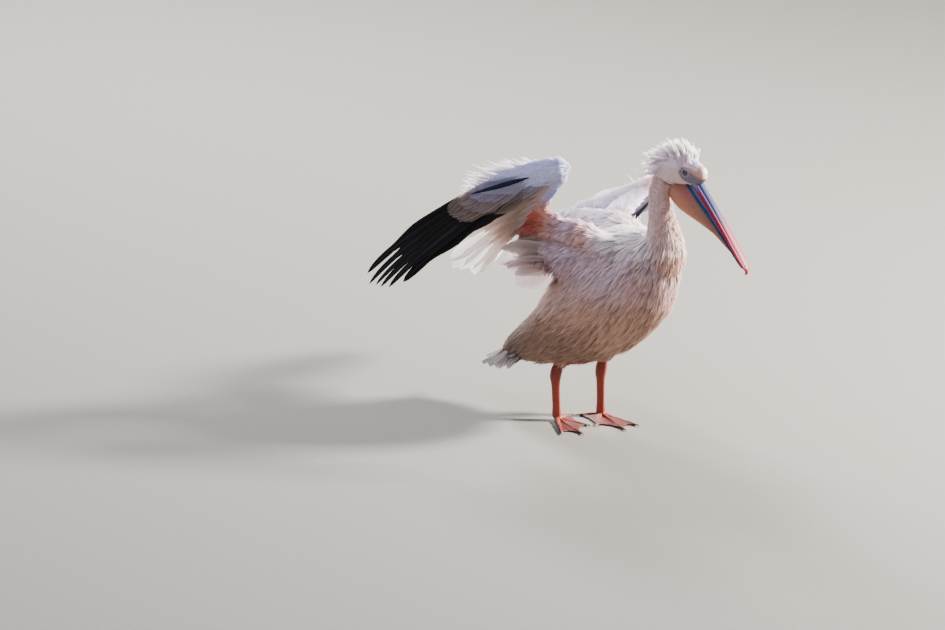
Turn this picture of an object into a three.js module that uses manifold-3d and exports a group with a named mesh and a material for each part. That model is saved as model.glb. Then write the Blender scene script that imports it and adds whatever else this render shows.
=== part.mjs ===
// A great white pelican as a still, life-size display model, standing with its wings half raised.
// Millimetres. +X is the bird's left, -Y is forward, +Z is up, and the floor is z = 0.
// Every solid is the outer shape of the plumage or of the bare part that it names.
import * as THREE from "three";
import { mergeVertices } from "three/addons/utils/BufferGeometryUtils.js";
import Module from "manifold-3d";

const wasm = await Module();
wasm.setup();

// ---- Driving dimensions ----------------------------------------------------------------------------

const GAP = 0.4; // clearance left between neighbouring pieces
const BOX_CENTRE = [-36.5, 32.7]; // left and forward of mid-stance, where the middle of the model's box lies

const BILL_LENGTH = 326; // forehead to the tip of the nail
const BILL_PITCH = 46.5; // degrees below level
const HEAD_YAW = 4; // degrees turned to the bird's right
const BILL_ROOT = [0, 368, 888]; // where the ridge of the bill meets the forehead
const EYE_RADIUS = 8;

const ANKLE = [74, 35, 20]; // left foot's ankle; the right foot's is as far right and as far back
const HEEL = [78, -18, 150]; // how far the heel joint lies out, forward of its ankle, and up
const KNEE = [70, 4, 265]; // where the leg enters the body, likewise
const FOOT_HEADING = { l: 24, r: 22 }; // degrees turned to the bird's right
const TOE_LENGTHS = [70, 106, 146, 136]; // hind, inner, middle and outer toe, without claws
const TOE_ANGLES = [-105, -38, 0, 27]; // degrees from the middle toe, outwards positive
const TOE_RADIUS = 6.5;
const FOOT_HEIGHT = 12;
const WEB_THICKNESS = 4;
const WEB_REACH = 0.93; // how far out along each toe the web ends, as a share
const WEB_DIP = 0.2; // how far its edge falls back between two toes, as a share
const CLAW_LENGTH = 14;

const VANE = 2; // thickness of a long feather
const COVERT_LIFT = 9; // how far a row of coverts lies off the quills that it covers

const STEP = 1e-3; // share of a line's length over which its direction is taken
const FACING_AT = [-0.3, -0.15, 0, 0.15, 0.3]; // where round about a feather its row's facing is averaged
const FACING_REACHES = [0.2, 0.5, 0.8]; // and how far out along it

const white = plumage(0xf3ebe6);
const rosy = plumage(0xf0cdbd);
const black = plumage(0x17161a);
const bareSkin = horn(0xd9744f, 0.5);
const pouchSkin = horn(0xe3a483, 0.5);
const billHorn = horn(0x8d93a8, 0.35);
const nailHorn = horn(0xd8472c, 0.35);
const clawHorn = horn(0x5b4a44, 0.4);
const eyeBall = horn(0x1c1310, 0.08);

function plumage(color) {
  return new THREE.MeshStandardMaterial({ color, roughness: 0.9, metalness: 0 });
}

function horn(color, roughness) {
  return new THREE.MeshStandardMaterial({ color, roughness, metalness: 0 });
}

// ---- Shapes ----------------------------------------------------------------------------------------

// A point by its distance left, forward and up from mid-stance on the floor.
function at(left, forward, up) {
  return new THREE.Vector3(left, -forward, up);
}

function curve(points) {
  return new THREE.CatmullRomCurve3(points, false, "centripetal");
}

// A closed geometry as a solid that can be joined and cut.
function solid(geometry) {
  const bare = geometry.index ? geometry.toNonIndexed() : geometry.clone();
  for (const name of Object.keys(bare.attributes)) {
    if (name !== "position") bare.deleteAttribute(name);
  }
  const merged = mergeVertices(bare, 1e-3);
  const corners = new Uint32Array(merged.index.array);
  const wrap = () =>
    new wasm.Manifold(
      new wasm.Mesh({ numProp: 3, vertProperties: merged.attributes.position.array, triVerts: corners }),
    );
  const made = wrap();
  if (made.volume() > 0) return made;
  for (let i = 0; i < corners.length; i += 3) {
    [corners[i + 1], corners[i + 2]] = [corners[i + 2], corners[i + 1]];
  }
  return wrap();
}

function join(...solids) {
  return solids.reduce((all, s) => all.add(s));
}

// What is left of a solid outside the others. Where they part it, the largest piece.
function clear(body, ...others) {
  const left = others.reduce((rest, other) => rest.subtract(other), body).decompose();
  return left.reduce((best, s) => (s.volume() > best.volume() ? s : best));
}

// A rounded body along a smooth spine. Each station is [centre, half width, half height], with the width
// along side and the height across it. cap is the share of the length that each end takes to round off.
// grow swells the body all round, for cutting a clearance out of a neighbour.
function body(stations, { side = at(1, 0, 0), sides = 20, rings = 16, cap = 0.2, grow = 0 } = {}) {
  const spine = curve(stations.map((s) => s[0]));
  const girth = curve(stations.map((s) => new THREE.Vector3(s[1], s[2], 0)));
  const geometry = new THREE.SphereGeometry(1, sides, rings);
  const spots = geometry.attributes.position;
  for (let i = 0; i < spots.count; i++) {
    const [x, y, z] = [spots.getX(i), spots.getY(i), spots.getZ(i)];
    const t = Math.acos(THREE.MathUtils.clamp(y, -1, 1)) / Math.PI;
    const angle = Math.atan2(z, x);
    const along = spine.getTangent(t);
    const across = side.clone().addScaledVector(along, -side.dot(along)).normalize();
    const upward = along.clone().cross(across);
    const fullness = Math.min(1, Math.min(t, 1 - t) / cap);
    const swell = Math.hypot(x, z) < 1e-4 ? 0 : Math.sqrt(1 - (1 - fullness) ** 2);
    const girths = girth.getPoint(t);
    const spot = spine.getPoint(t);
    spot.addScaledVector(along, (t < 0.5 ? -1 : 1) * grow * (1 - fullness));
    spot.addScaledVector(across, (girths.x + grow) * swell * Math.cos(angle));
    spot.addScaledVector(upward, (girths.y + grow) * swell * Math.sin(angle));
    spots.setXYZ(i, spot.x, spot.y, spot.z);
  }
  return solid(geometry);
}

// A row of long feathers side by side as one thin sheet, from a line of roots to a line of tips. Between
// two feathers the edge falls back by notch, as a share of their length: [at the first feather, at the
// last]. bow arches the sheet, ridge arches each feather, and sweep bends them sideways, towards the first.
// span keeps only a stretch of the length, and lift moves that stretch off the sheet, as coverts lie on
// quills.
const FAN = { notch: [0.1, 0.1], bow: 0, ridge: 2, sweep: 0, columns: 2, rows: 1, span: [0, 1], lift: 0 };

function fan(roots, tips, options) {
  const { count, notch, bow, ridge, sweep, columns, rows, span, lift } = { ...FAN, ...options };
  const rootLine = curve(roots);
  const tipLine = curve(tips);
  const onSheet = (s, reach) => rootLine.getPoint(s).lerp(tipLine.getPoint(s), reach);
  const sideways = (s, reach) => {
    const before = onSheet(Math.max(0, s - STEP), reach);
    return onSheet(Math.min(1, s + STEP), reach).sub(before);
  };
  // Off the sheet, as the average round about, so that it turns slowly from feather to feather.
  const facing = (s) => {
    const total = new THREE.Vector3();
    for (const near of FACING_AT) {
      const spot = THREE.MathUtils.clamp(s + near, STEP, 1 - STEP);
      const lengthways = tipLine.getPoint(spot).sub(rootLine.getPoint(spot));
      for (const reach of FACING_REACHES) total.add(sideways(spot, reach).cross(lengthways));
    }
    return total.normalize();
  };
  const geometry = new THREE.BoxGeometry(1, 1, VANE, columns * count, rows, 1);
  const spots = geometry.attributes.position;
  for (let i = 0; i < spots.count; i++) {
    const s = THREE.MathUtils.clamp(spots.getX(i) + 0.5, 0, 1);
    const t = THREE.MathUtils.clamp(spots.getY(i) + 0.5, 0, 1);
    const edge = Math.abs(2 * ((s * count) % 1) - 1);
    const fallBack = (span[1] - span[0]) * t * THREE.MathUtils.lerp(...notch, s) * edge ** 3;
    const reach = THREE.MathUtils.lerp(...span, t) - fallBack;
    const arch = 4 * reach * (1 - reach);
    const height = bow * arch + ridge * (1 - edge) * Math.min(1, 4 * t) + lift + spots.getZ(i);
    const spot = onSheet(s, reach);
    spot.addScaledVector(sideways(s, reach).normalize(), -sweep * arch);
    spot.addScaledVector(facing(s), height);
    spots.setXYZ(i, spot.x, spot.y, spot.z);
  }
  // The underside's quads take the same diagonals as the top's, so that a twisted sheet keeps its thickness.
  const corners = geometry.index;
  const underside = geometry.groups.at(-1);
  for (let i = underside.start; i < underside.start + underside.count; i += 6) {
    corners.setX(i + 2, corners.getX(i + 4));
    corners.setX(i + 3, corners.getX(i));
  }
  return solid(geometry);
}

const pelican = new THREE.Group();
pelican.position.copy(at(-BOX_CENTRE[0], -BOX_CENTRE[1], 0));

// Adds a solid to the model as a named mesh.
function place(name, made, material) {
  const mesh = made.getMesh();
  const spots = new Float32Array(mesh.numVert * 3);
  for (let i = 0; i < mesh.numVert; i++) {
    spots.set(mesh.vertProperties.subarray(i * mesh.numProp, i * mesh.numProp + 3), i * 3);
  }
  const geometry = new THREE.BufferGeometry();
  geometry.setAttribute("position", new THREE.BufferAttribute(spots, 3));
  geometry.setIndex(new THREE.BufferAttribute(mesh.triVerts, 1));
  geometry.computeVertexNormals();
  const named = new THREE.Mesh(geometry, material);
  named.name = name;
  pelican.add(named);
}

// ---- Trunk and neck --------------------------------------------------------------------------------

const trunk = (grow) =>
  body(
    [
      [at(-62, -272, 164), 36, 18],
      [at(-52, -232, 192), 58, 40],
      [at(-36, -172, 226), 92, 72],
      [at(-20, -102, 268), 126, 108],
      [at(-8, -25, 330), 152, 152],
      [at(0, 50, 412), 158, 182],
      [at(0, 118, 500), 150, 186],
      [at(0, 178, 574), 124, 144],
      [at(0, 224, 634), 90, 88],
      [at(0, 246, 690), 60, 62],
    ],
    { sides: 18, rings: 15, cap: 0.12, grow },
  );

const neckLower = (grow) =>
  body(
    [
      [at(0, 236, 600), 66, 84],
      [at(0, 247, 655), 58, 68],
      [at(0, 239, 711), 40, 46],
      [at(0, 228, 760), 35, 40],
      [at(0, 221, 800), 34, 39],
    ],
    { grow, cap: 0.12, rings: 9, sides: 12 },
  );

const neckUpper = (grow) =>
  body(
    [
      [at(0, 222, 790), 34, 39],
      [at(0, 219, 815), 33, 38],
      [at(0, 226, 850), 31, 36],
      [at(0, 240, 885), 32, 40],
    ],
    { grow, cap: 0.16, rings: 6, sides: 12 },
  );

place("trunk", trunk(0), white);
place("neck_lower", clear(neckLower(0), trunk(GAP)), white);
place("neck_upper", clear(neckUpper(0), neckLower(GAP)), white);

const tail = fan(
  [at(14, -222, 190), at(-50, -228, 196), at(-108, -176, 196)],
  [at(8, -322, 140), at(-58, -334, 124), at(-112, -304, 130), at(-150, -240, 144), at(-148, -184, 158)],
  { count: 9, notch: [0.14, 0.14] },
);
place("tail", clear(tail, trunk(GAP)), white);

// ---- Head and bill ---------------------------------------------------------------------------------

const head = (grow) =>
  body(
    [
      [at(0, 208, 872), 30, 34],
      [at(0, 238, 902), 36, 45],
      [at(0, 285, 915), 37, 52],
      [at(0, 330, 913), 32, 44],
      [at(0, 368, 905), 23, 32],
      [at(0, 386, 900), 18, 24],
    ],
    { grow, sides: 14, rings: 9 },
  );

const yaw = THREE.MathUtils.degToRad(HEAD_YAW);
const pitch = THREE.MathUtils.degToRad(BILL_PITCH);
const billAxis = at(-Math.sin(yaw) * Math.cos(pitch), Math.cos(yaw) * Math.cos(pitch), -Math.sin(pitch));
const billSide = at(Math.cos(yaw), Math.sin(yaw), 0);
const billTop = billAxis.clone().cross(billSide).normalize();

// A place on the bill by its distance from the forehead towards the tip, and below the ridge.
function onBill(out, below) {
  return at(...BILL_ROOT).addScaledVector(billAxis, out).addScaledVector(billTop, -below);
}

const upperBill = (grow) =>
  body(
    [
      [onBill(-24, 14), 21, 16],
      [onBill(20, 13), 21, 14],
      [onBill(90, 9), 21, 11.5],
      [onBill(180, 6), 22, 9],
      [onBill(260, 5), 22, 7],
      [onBill(306, 6), 17, 5.5],
      [onBill(BILL_LENGTH - 6, 9), 9, 4],
    ],
    { side: billSide, grow, cap: 0.08, rings: 10, sides: 10 },
  );

const nail = (grow) =>
  body(
    [
      [onBill(BILL_LENGTH - 32, 6), 6, 4.5],
      [onBill(BILL_LENGTH - 14, 7), 8, 5],
      [onBill(BILL_LENGTH - 3, 13), 6.5, 5.5],
      [onBill(BILL_LENGTH - 1, 23), 3, 3],
    ],
    { side: billSide, grow, rings: 6, sides: 8 },
  );

const lowerBill = (grow) =>
  body(
    [
      [onBill(-44, 46), 17, 8],
      [onBill(0, 39), 20, 8],
      [onBill(90, 29.5), 18, 6.5],
      [onBill(190, 22), 16, 5],
      [onBill(280, 19), 11, 4],
      [onBill(BILL_LENGTH - 20, 18.5), 6, 3],
    ],
    { side: billSide, grow, cap: 0.08, rings: 8, sides: 8 },
  );

const pouch = (grow) =>
  body(
    [
      [onBill(-62, 86), 15, 30],
      [onBill(-30, 83), 18, 35],
      [onBill(20, 73), 19, 33],
      [onBill(90, 56), 16, 25],
      [onBill(165, 37), 12, 14],
      [onBill(250, 25), 6, 4],
    ],
    { side: billSide, grow, cap: 0.1, rings: 9, sides: 10 },
  );

const eyeSpot = (side) => at(side * 27.5, 326, 914);
const eye = (side, radius) => {
  const ball = new THREE.SphereGeometry(radius, 8, 6);
  const spot = eyeSpot(side);
  return solid(ball.translate(spot.x, spot.y, spot.z));
};

const throat = [neckUpper(GAP), neckLower(GAP)];
const skull = clear(head(0), neckUpper(GAP));
place("head", clear(skull, eye(1, EYE_RADIUS + GAP), eye(-1, EYE_RADIUS + GAP)), white);
place("bill_nail", nail(0), nailHorn);
place("bill_upper", clear(upperBill(0), head(GAP), nail(GAP)), billHorn);
place("bill_lower", clear(lowerBill(0), head(GAP), upperBill(GAP), nail(GAP)), billHorn);
place("bill_pouch", clear(pouch(0), head(GAP), lowerBill(GAP), upperBill(GAP), ...throat), pouchSkin);
place("eye_l", eye(1, EYE_RADIUS), eyeBall);
place("eye_r", eye(-1, EYE_RADIUS), eyeBall);

const crest = fan(
  [at(0, 336, 935), at(0, 286, 945), at(0, 236, 925), at(0, 214, 880), at(0, 216, 845)],
  [at(0, 345, 975), at(0, 308, 1012), at(0, 238, 996), at(0, 168, 938), at(0, 158, 872), at(0, 184, 822)],
  { count: 9, notch: [0.5, 0.5], ridge: 3 },
);
place("crest", clear(crest, head(GAP), ...throat), white);

// ---- Legs and feet ---------------------------------------------------------------------------------

const floorBlock = new THREE.BoxGeometry(1000, 1000, 200).translate(0, 0, -100);
const underFloor = solid(floorBlock);

function leg(name, side) {
  const ankle = at(side * ANKLE[0], side * ANKLE[1], ANKLE[2]);
  const heel = at(side * HEEL[0], side * ANKLE[1] + HEEL[1], HEEL[2]);
  const knee = at(side * KNEE[0], side * ANKLE[1] + KNEE[1], KNEE[2]);
  const onShin = (share) => knee.clone().lerp(heel, share);
  const onTarsus = (share) => heel.clone().lerp(ankle, share);
  const thigh = (grow) =>
    body(
      [
        [onShin(0), 46, 50],
        [onShin(0.4), 36, 40],
        [onShin(0.74), 20, 23],
      ],
      { grow, rings: 8, sides: 12 },
    );
  const shank = (grow) =>
    body(
      [
        [onShin(0), 15, 17],
        [onShin(0.6), 13, 16],
        [onShin(0.95), 16, 20],
        [onTarsus(0.14), 13, 17],
      ],
      { grow, rings: 8, sides: 10, cap: 0.1 },
    );
  const tarsus = (grow) =>
    body(
      [
        [onTarsus(0.04), 13, 17],
        [onTarsus(0.3), 10, 16],
        [onTarsus(0.75), 10, 16],
        [onTarsus(1.1), 14, 18],
      ],
      { grow, rings: 8, sides: 10, cap: 0.1 },
    );
  place(`thigh_${name}`, clear(thigh(0), trunk(GAP)), rosy);
  place(`shank_${name}`, clear(shank(0), trunk(GAP), thigh(GAP)), bareSkin);
  place(`tarsus_${name}`, clear(tarsus(0), shank(GAP)), bareSkin);

  // The foot: four toes on the floor from one joint, with a web that spans them all.
  const heading = THREE.MathUtils.degToRad(FOOT_HEADING[name]);
  const joint = ankle.clone().setZ(FOOT_HEIGHT);
  const outwards = TOE_ANGLES.map((angle) => {
    const turn = heading - side * THREE.MathUtils.degToRad(angle);
    return at(-Math.sin(turn), Math.cos(turn), 0);
  });
  const onToe = (i, out, up) => joint.clone().addScaledVector(outwards[i], TOE_LENGTHS[i] * out).setZ(up);
  const toe = (i, grow) =>
    body(
      [
        [onToe(i, -0.06, 8), 10, 11],
        [onToe(i, 0.35, 7), 8, 8],
        [onToe(i, 0.7, TOE_RADIUS - 1), TOE_RADIUS, TOE_RADIUS],
        [onToe(i, 1, TOE_RADIUS - 2), TOE_RADIUS - 1, TOE_RADIUS - 1],
      ],
      { grow, side: at(0, 0, 1), rings: 4, sides: 6, cap: 0.08 },
    );
  const web = new THREE.Shape();
  web.moveTo(joint.x, joint.y);
  outwards.forEach((_, i) => {
    const corner = onToe(i, WEB_REACH, 0);
    const before = i > 0 ? onToe(i - 1, WEB_REACH, 0) : corner;
    const middle = corner.clone().lerp(before, 0.5).lerp(joint, i > 0 ? WEB_DIP : 0);
    web.quadraticCurveTo(middle.x, middle.y, corner.x, corner.y);
  });
  web.closePath();
  const sheet = new THREE.ExtrudeGeometry(web, {
    depth: WEB_THICKNESS,
    bevelEnabled: false,
    curveSegments: 4,
  });
  const toes = outwards.map((_, i) => toe(i, 0));
  place(`foot_${name}`, clear(join(solid(sheet), ...toes), underFloor, tarsus(GAP)), bareSkin);

  outwards.forEach((_, i) => {
    const reach = CLAW_LENGTH / TOE_LENGTHS[i];
    const claw = body(
      [
        [onToe(i, 0.97, 5), 3.4, 3.8],
        [onToe(i, 1 + reach * 0.5, 6), 2.8, 3],
        [onToe(i, 1 + reach, 2), 0.8, 0.8],
      ],
      { side: at(0, 0, 1), rings: 3, sides: 5 },
    );
    place(`claw_${name}_${i + 1}`, clear(claw, toe(i, GAP), underFloor), clawHorn);
  });
}

leg("l", 1);
leg("r", -1);

// ---- Wings -----------------------------------------------------------------------------------------

const MIDDLE_PRIMARY = 3;
const RUFFLE_BEHIND = 12;

// The two wings differ only in their pose. Places run from shoulder to fingertip, and feather tips from the
// leading primary inwards. fallBack is how far the fold of skin ahead of the elbow draws back to it, and
// sweep bends the primaries towards the leading one.
function wing(name, side, pose) {
  const { shoulder, elbow, wrist, manus } = pose;
  const between = (a, b, share) => a.clone().lerp(b, share);
  const chord = pose.primaryTips.at(-1).clone().sub(pose.primaryTips[0]).normalize();
  const toTips = pose.primaryTips[MIDDLE_PRIMARY].clone().sub(manus);
  const palm = wrist.clone().sub(manus).cross(toTips).normalize().multiplyScalar(side);
  const fold = between(between(shoulder, wrist, 0.7), elbow, pose.fallBack);
  const upperArm = (grow) =>
    body(
      [
        [between(shoulder, elbow, -0.1), 56, 50],
        [between(shoulder, elbow, 0.3), 58, 38],
        [between(shoulder, elbow, 0.7), 46, 26],
        [between(elbow, shoulder, -0.1), 34, 20],
      ],
      { side: wrist.clone().sub(elbow), grow, rings: 7, sides: 10 },
    );
  const forearm = (grow) =>
    body(
      [
        [between(elbow, wrist, -0.06), 32, 19],
        [between(elbow, wrist, 0.3), 40, 20],
        [between(elbow, wrist, 0.7), 36, 20],
        [between(wrist, elbow, -0.03), 34, 20],
      ],
      { side: shoulder.clone().sub(elbow), grow, rings: 7, sides: 8 },
    );
  const patagium = (grow) =>
    body(
      [
        [between(shoulder, elbow, 0.25), 60, 30],
        [fold, 44, 13],
        [between(wrist, elbow, 0.2), 22, 16],
      ],
      { side: elbow.clone().sub(fold), grow, rings: 6, sides: 8 },
    );
  const hand = (grow) =>
    body(
      [
        [between(wrist, manus, -0.14), 36, 20],
        [between(wrist, manus, 0.2), 46, 22],
        [between(wrist, manus, 0.65), 34, 15],
        [between(manus, wrist, -0.06), 16, 8],
      ],
      { side: chord, grow, rings: 7, sides: 10 },
    );
  const arm = clear(upperArm(0), trunk(GAP));
  const fore = clear(join(forearm(0), patagium(0)), trunk(GAP), upperArm(GAP));
  place(`wing_${name}_upper_arm`, arm, white);
  place(`wing_${name}_forearm`, fore, rosy);
  place(`wing_${name}_hand`, clear(hand(0), forearm(GAP), patagium(GAP)), white);
  const flesh = [trunk(GAP), upperArm(GAP), forearm(GAP), patagium(GAP), hand(GAP)];

  const quills = { ridge: -side * 2 };
  const primaryRoots = [-0.02, 0.5, 0.92].map((share) => between(manus, wrist, share));
  const secondaryRoots = [0.14, 0.5, 0.98].map((share) => between(wrist, elbow, share));
  const bowed = { bow: -side * 10, sweep: pose.sweep, columns: 3, rows: 2 };
  const primaries = { ...quills, ...bowed, count: 10, notch: [0.3, 0.06] };
  const secondaries = { ...quills, count: 9, notch: [0.16, 0.16] };
  const under = side * COVERT_LIFT;
  const onPrimaries = { ...primaries, count: 5, columns: 2, rows: 1, notch: [0.16, 0.16], span: [0, 0.31] };
  const onSecondaries = { ...secondaries, count: 5, span: [0, 0.52] };
  const overPalm = palm.clone().multiplyScalar(24).addScaledVector(chord, -8);
  const onPalm = (share) => between(wrist, manus, share).add(overPalm);
  const alula = body(
    [
      [onPalm(0.3), 8, 3],
      [onPalm(0.75), 12, 3.5],
      [onPalm(1.2), 4, 2],
    ],
    { side: chord, rings: 5, sides: 6 },
  );
  const behind = (spots) => spots.map((spot) => spot.clone().addScaledVector(palm, -RUFFLE_BEHIND));
  const ruffle = fan(behind(pose.ruffleRoots), behind(pose.ruffleTips), { count: 7, notch: [0.45, 0.45] });
  const onHand = (options) => fan(primaryRoots, pose.primaryTips, options);
  const onArm = (options) => fan(secondaryRoots, pose.secondaryTips, options);
  const scapulars = fan(pose.scapularRoots, pose.scapularTips, { count: 5, notch: [0.4, 0.4] });
  const pieces = {
    primaries: [onHand(primaries), black],
    secondaries: [onArm(secondaries), white],
    primary_coverts_under: [onHand({ ...onPrimaries, lift: under }), white],
    primary_coverts_over: [onHand({ ...onPrimaries, lift: -under }), black],
    secondary_coverts_under: [onArm({ ...onSecondaries, lift: under }), rosy],
    secondary_coverts_over: [onArm({ ...onSecondaries, lift: -under }), white],
    alula: [alula, black],
    ruffle: [ruffle, white],
    scapulars: [scapulars, white],
  };
  for (const [piece, [made, material]] of Object.entries(pieces)) {
    place(`wing_${name}_${piece}`, clear(made, ...flesh), material);
  }
}

function scapularRoots(side) {
  return [at(side * 104, -60, 600), at(side * 112, -44, 540), at(side * 98, -70, 450)];
}

wing("r", -1, {
  fallBack: 0.62,
  sweep: 8,
  shoulder: at(-92, 26, 638),
  elbow: at(-142, -219, 624),
  wrist: at(-230, 0, 885),
  manus: at(-342, -188, 820),
  primaryTips: [
    at(-507, -529, 477),
    at(-515, -499, 437),
    at(-510, -467, 435),
    at(-490, -425, 439),
    at(-392, -394, 508),
    at(-365, -332, 553),
    at(-330, -254, 631),
  ],
  secondaryTips: [
    at(-300, -262, 690),
    at(-305, -330, 610),
    at(-302, -376, 530),
    at(-240, -372, 480),
    at(-150, -362, 452),
    at(-125, -318, 465),
    at(-118, -310, 535),
  ],
  ruffleRoots: [at(-252, -60, 884), at(-300, -132, 852), at(-344, -206, 804), at(-366, -250, 752)],
  ruffleTips: [
    at(-290, -118, 915),
    at(-345, -198, 882),
    at(-376, -236, 838),
    at(-380, -262, 806),
    at(-382, -276, 756),
  ],
  scapularRoots: scapularRoots(-1),
  scapularTips: [
    at(-150, -196, 585),
    at(-160, -208, 558),
    at(-160, -262, 507),
    at(-160, -240, 480),
    at(-92, -244, 374),
  ],
});

wing("l", 1, {
  fallBack: 0.3,
  sweep: 0,
  shoulder: at(92, 26, 632),
  elbow: at(142, -205, 602),
  wrist: at(360, 50, 760),
  manus: at(385, -100, 585),
  primaryTips: [
    at(440, -415, 330),
    at(425, -428, 355),
    at(405, -424, 385),
    at(380, -395, 430),
    at(350, -350, 490),
    at(325, -300, 560),
  ],
  secondaryTips: [
    at(300, -270, 590),
    at(270, -310, 530),
    at(235, -320, 470),
    at(190, -300, 440),
    at(165, -250, 480),
  ],
  ruffleRoots: [at(374, -2, 730), at(382, -46, 678), at(389, -92, 625), at(394, -130, 588)],
  ruffleTips: [at(398, -54, 752), at(412, -104, 706), at(422, -160, 650), at(426, -216, 586)],
  scapularRoots: scapularRoots(1),
  scapularTips: [
    at(150, -150, 575),
    at(160, -180, 540),
    at(156, -215, 490),
    at(150, -220, 450),
    at(120, -216, 392),
  ],
});

export default pelican;
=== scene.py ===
from math import cos, pi, radians, sin

import bmesh
import bpy
import numpy as np
from mathutils import Matrix, Vector
from mathutils.bvhtree import BVHTree
from mathutils.kdtree import KDTree


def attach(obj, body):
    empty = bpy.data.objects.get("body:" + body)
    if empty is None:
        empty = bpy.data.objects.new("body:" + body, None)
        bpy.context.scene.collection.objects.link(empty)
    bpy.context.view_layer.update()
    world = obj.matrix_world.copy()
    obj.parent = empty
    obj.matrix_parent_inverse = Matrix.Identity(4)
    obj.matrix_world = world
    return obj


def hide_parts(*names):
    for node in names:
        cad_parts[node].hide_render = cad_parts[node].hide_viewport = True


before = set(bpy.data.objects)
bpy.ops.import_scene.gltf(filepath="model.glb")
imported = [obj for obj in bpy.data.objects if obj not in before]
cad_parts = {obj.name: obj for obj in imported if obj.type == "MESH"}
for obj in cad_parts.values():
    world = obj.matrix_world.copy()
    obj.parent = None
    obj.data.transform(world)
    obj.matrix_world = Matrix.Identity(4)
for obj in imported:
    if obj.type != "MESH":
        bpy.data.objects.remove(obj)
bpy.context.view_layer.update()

RANDOM = np.random.default_rng(11)
SPARE = 1.0

MID_STANCE = np.array([0.0365, 0.0327, 0.0])  # the point on the floor midway between the ankles


def at(left, forward, up):
    """A point from its distances in millimetres left, forward and up from mid-stance."""
    return MID_STANCE + np.array([left, -forward, up]) / 1000


def local(places):
    """Places as distances left, forward and up from mid-stance, in millimetres."""
    return (places - MID_STANCE) * [1000, -1000, 1000]


def linear(colour):
    """An sRGB hex colour as linear red, green and blue. A colour that is linear already stays as it is."""
    if not isinstance(colour, str):
        return colour
    parts = np.array([int(colour[i : i + 2], 16) for i in (1, 3, 5)]) / 255
    return np.where(parts <= 0.04045, parts / 12.92, ((parts + 0.055) / 1.055) ** 2.4)


def unit(v):
    return v / np.maximum(np.linalg.norm(v, axis=-1, keepdims=True), 1e-9)


def mix(a, b, share):
    return a + (b - a) * share


def rise(x, low, high):
    """0 below low, 1 above high, and smooth between."""
    t = np.clip((x - low) / (high - low), 0, 1)
    return t * t * (3 - 2 * t)


def bell(x, middle, width):
    """1 at the middle, falling to about a third one width away."""
    return np.exp(-(((x - middle) / width) ** 2))


def near(spots, centre, radius):
    """1 at a place, falling smoothly to 0 at the radii, in millimetres."""
    gap = np.linalg.norm((spots - np.array(centre)) / np.array(radius), axis=1)
    return 1 - rise(gap, 0.35, 1.0)


def tinted(colour, *layers):
    """A colour with layers laid over it in turn, each an sRGB code and its share at every place."""
    colour = linear(colour)
    for code, share in layers:
        colour = mix(colour, linear(code), np.clip(share, 0, 1)[:, None])
    return colour


# ---- Curves, lofts and meshes ----------------------------------------------------------------------


def curve(points):
    """A centripetal Catmull-Rom curve through points, as a function of a share from 0 to 1."""
    points = np.array(points, float)
    ends = (2 * points[0] - points[1], 2 * points[-1] - points[-2])
    row = np.vstack([ends[0], points, ends[1]])

    def place(share):
        share = np.clip(np.asarray(share, float), 0, 1) * (len(points) - 1)
        i = np.minimum(share.astype(int), len(points) - 2)
        t = (share - i)[..., None]
        p0, p1, p2, p3 = row[i], row[i + 1], row[i + 2], row[i + 3]
        d0, d1, d2 = (
            np.maximum(np.linalg.norm(b - a, axis=-1, keepdims=True), 1e-7) ** 0.5
            for a, b in ((p0, p1), (p1, p2), (p2, p3))
        )
        m1 = ((p1 - p0) / d0 - (p2 - p0) / (d0 + d1) + (p2 - p1) / d1) * d1
        m2 = ((p2 - p1) / d1 - (p3 - p1) / (d1 + d2) + (p3 - p2) / d2) * d1
        a = 2 * p1 - 2 * p2 + m1 + m2
        b = -3 * p1 + 3 * p2 - 2 * m1 - m2
        return ((a * t + b) * t + m1) * t + p1

    return place


def read(items, key, width, kind=float):
    """One property of all of a mesh's items, as an array with a row for each."""
    out = np.empty(len(items) * width, kind)
    items.foreach_get(key, out)
    return out.reshape(-1, width)


def arrays(bm):
    """The places of a bmesh's vertices as an array."""
    return np.array([v.co[:] for v in bm.verts])


def put(bm, places):
    for v, p in zip(bm.verts, places):
        v.co = p


def move(mesh, places):
    mesh.vertices.foreach_set("co", places.ravel())
    mesh.update()


def mesh_from(bm, name="part"):
    """A bmesh as a mesh. The bmesh is freed."""
    mesh = bpy.data.meshes.new(name)
    bm.to_mesh(mesh)
    bm.free()
    return mesh


def join(bm, parts):
    """Adds other bmeshes to one."""
    for part in parts:
        mesh = mesh_from(part)
        bm.from_mesh(mesh)
        bpy.data.meshes.remove(mesh)
    return bm


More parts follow.
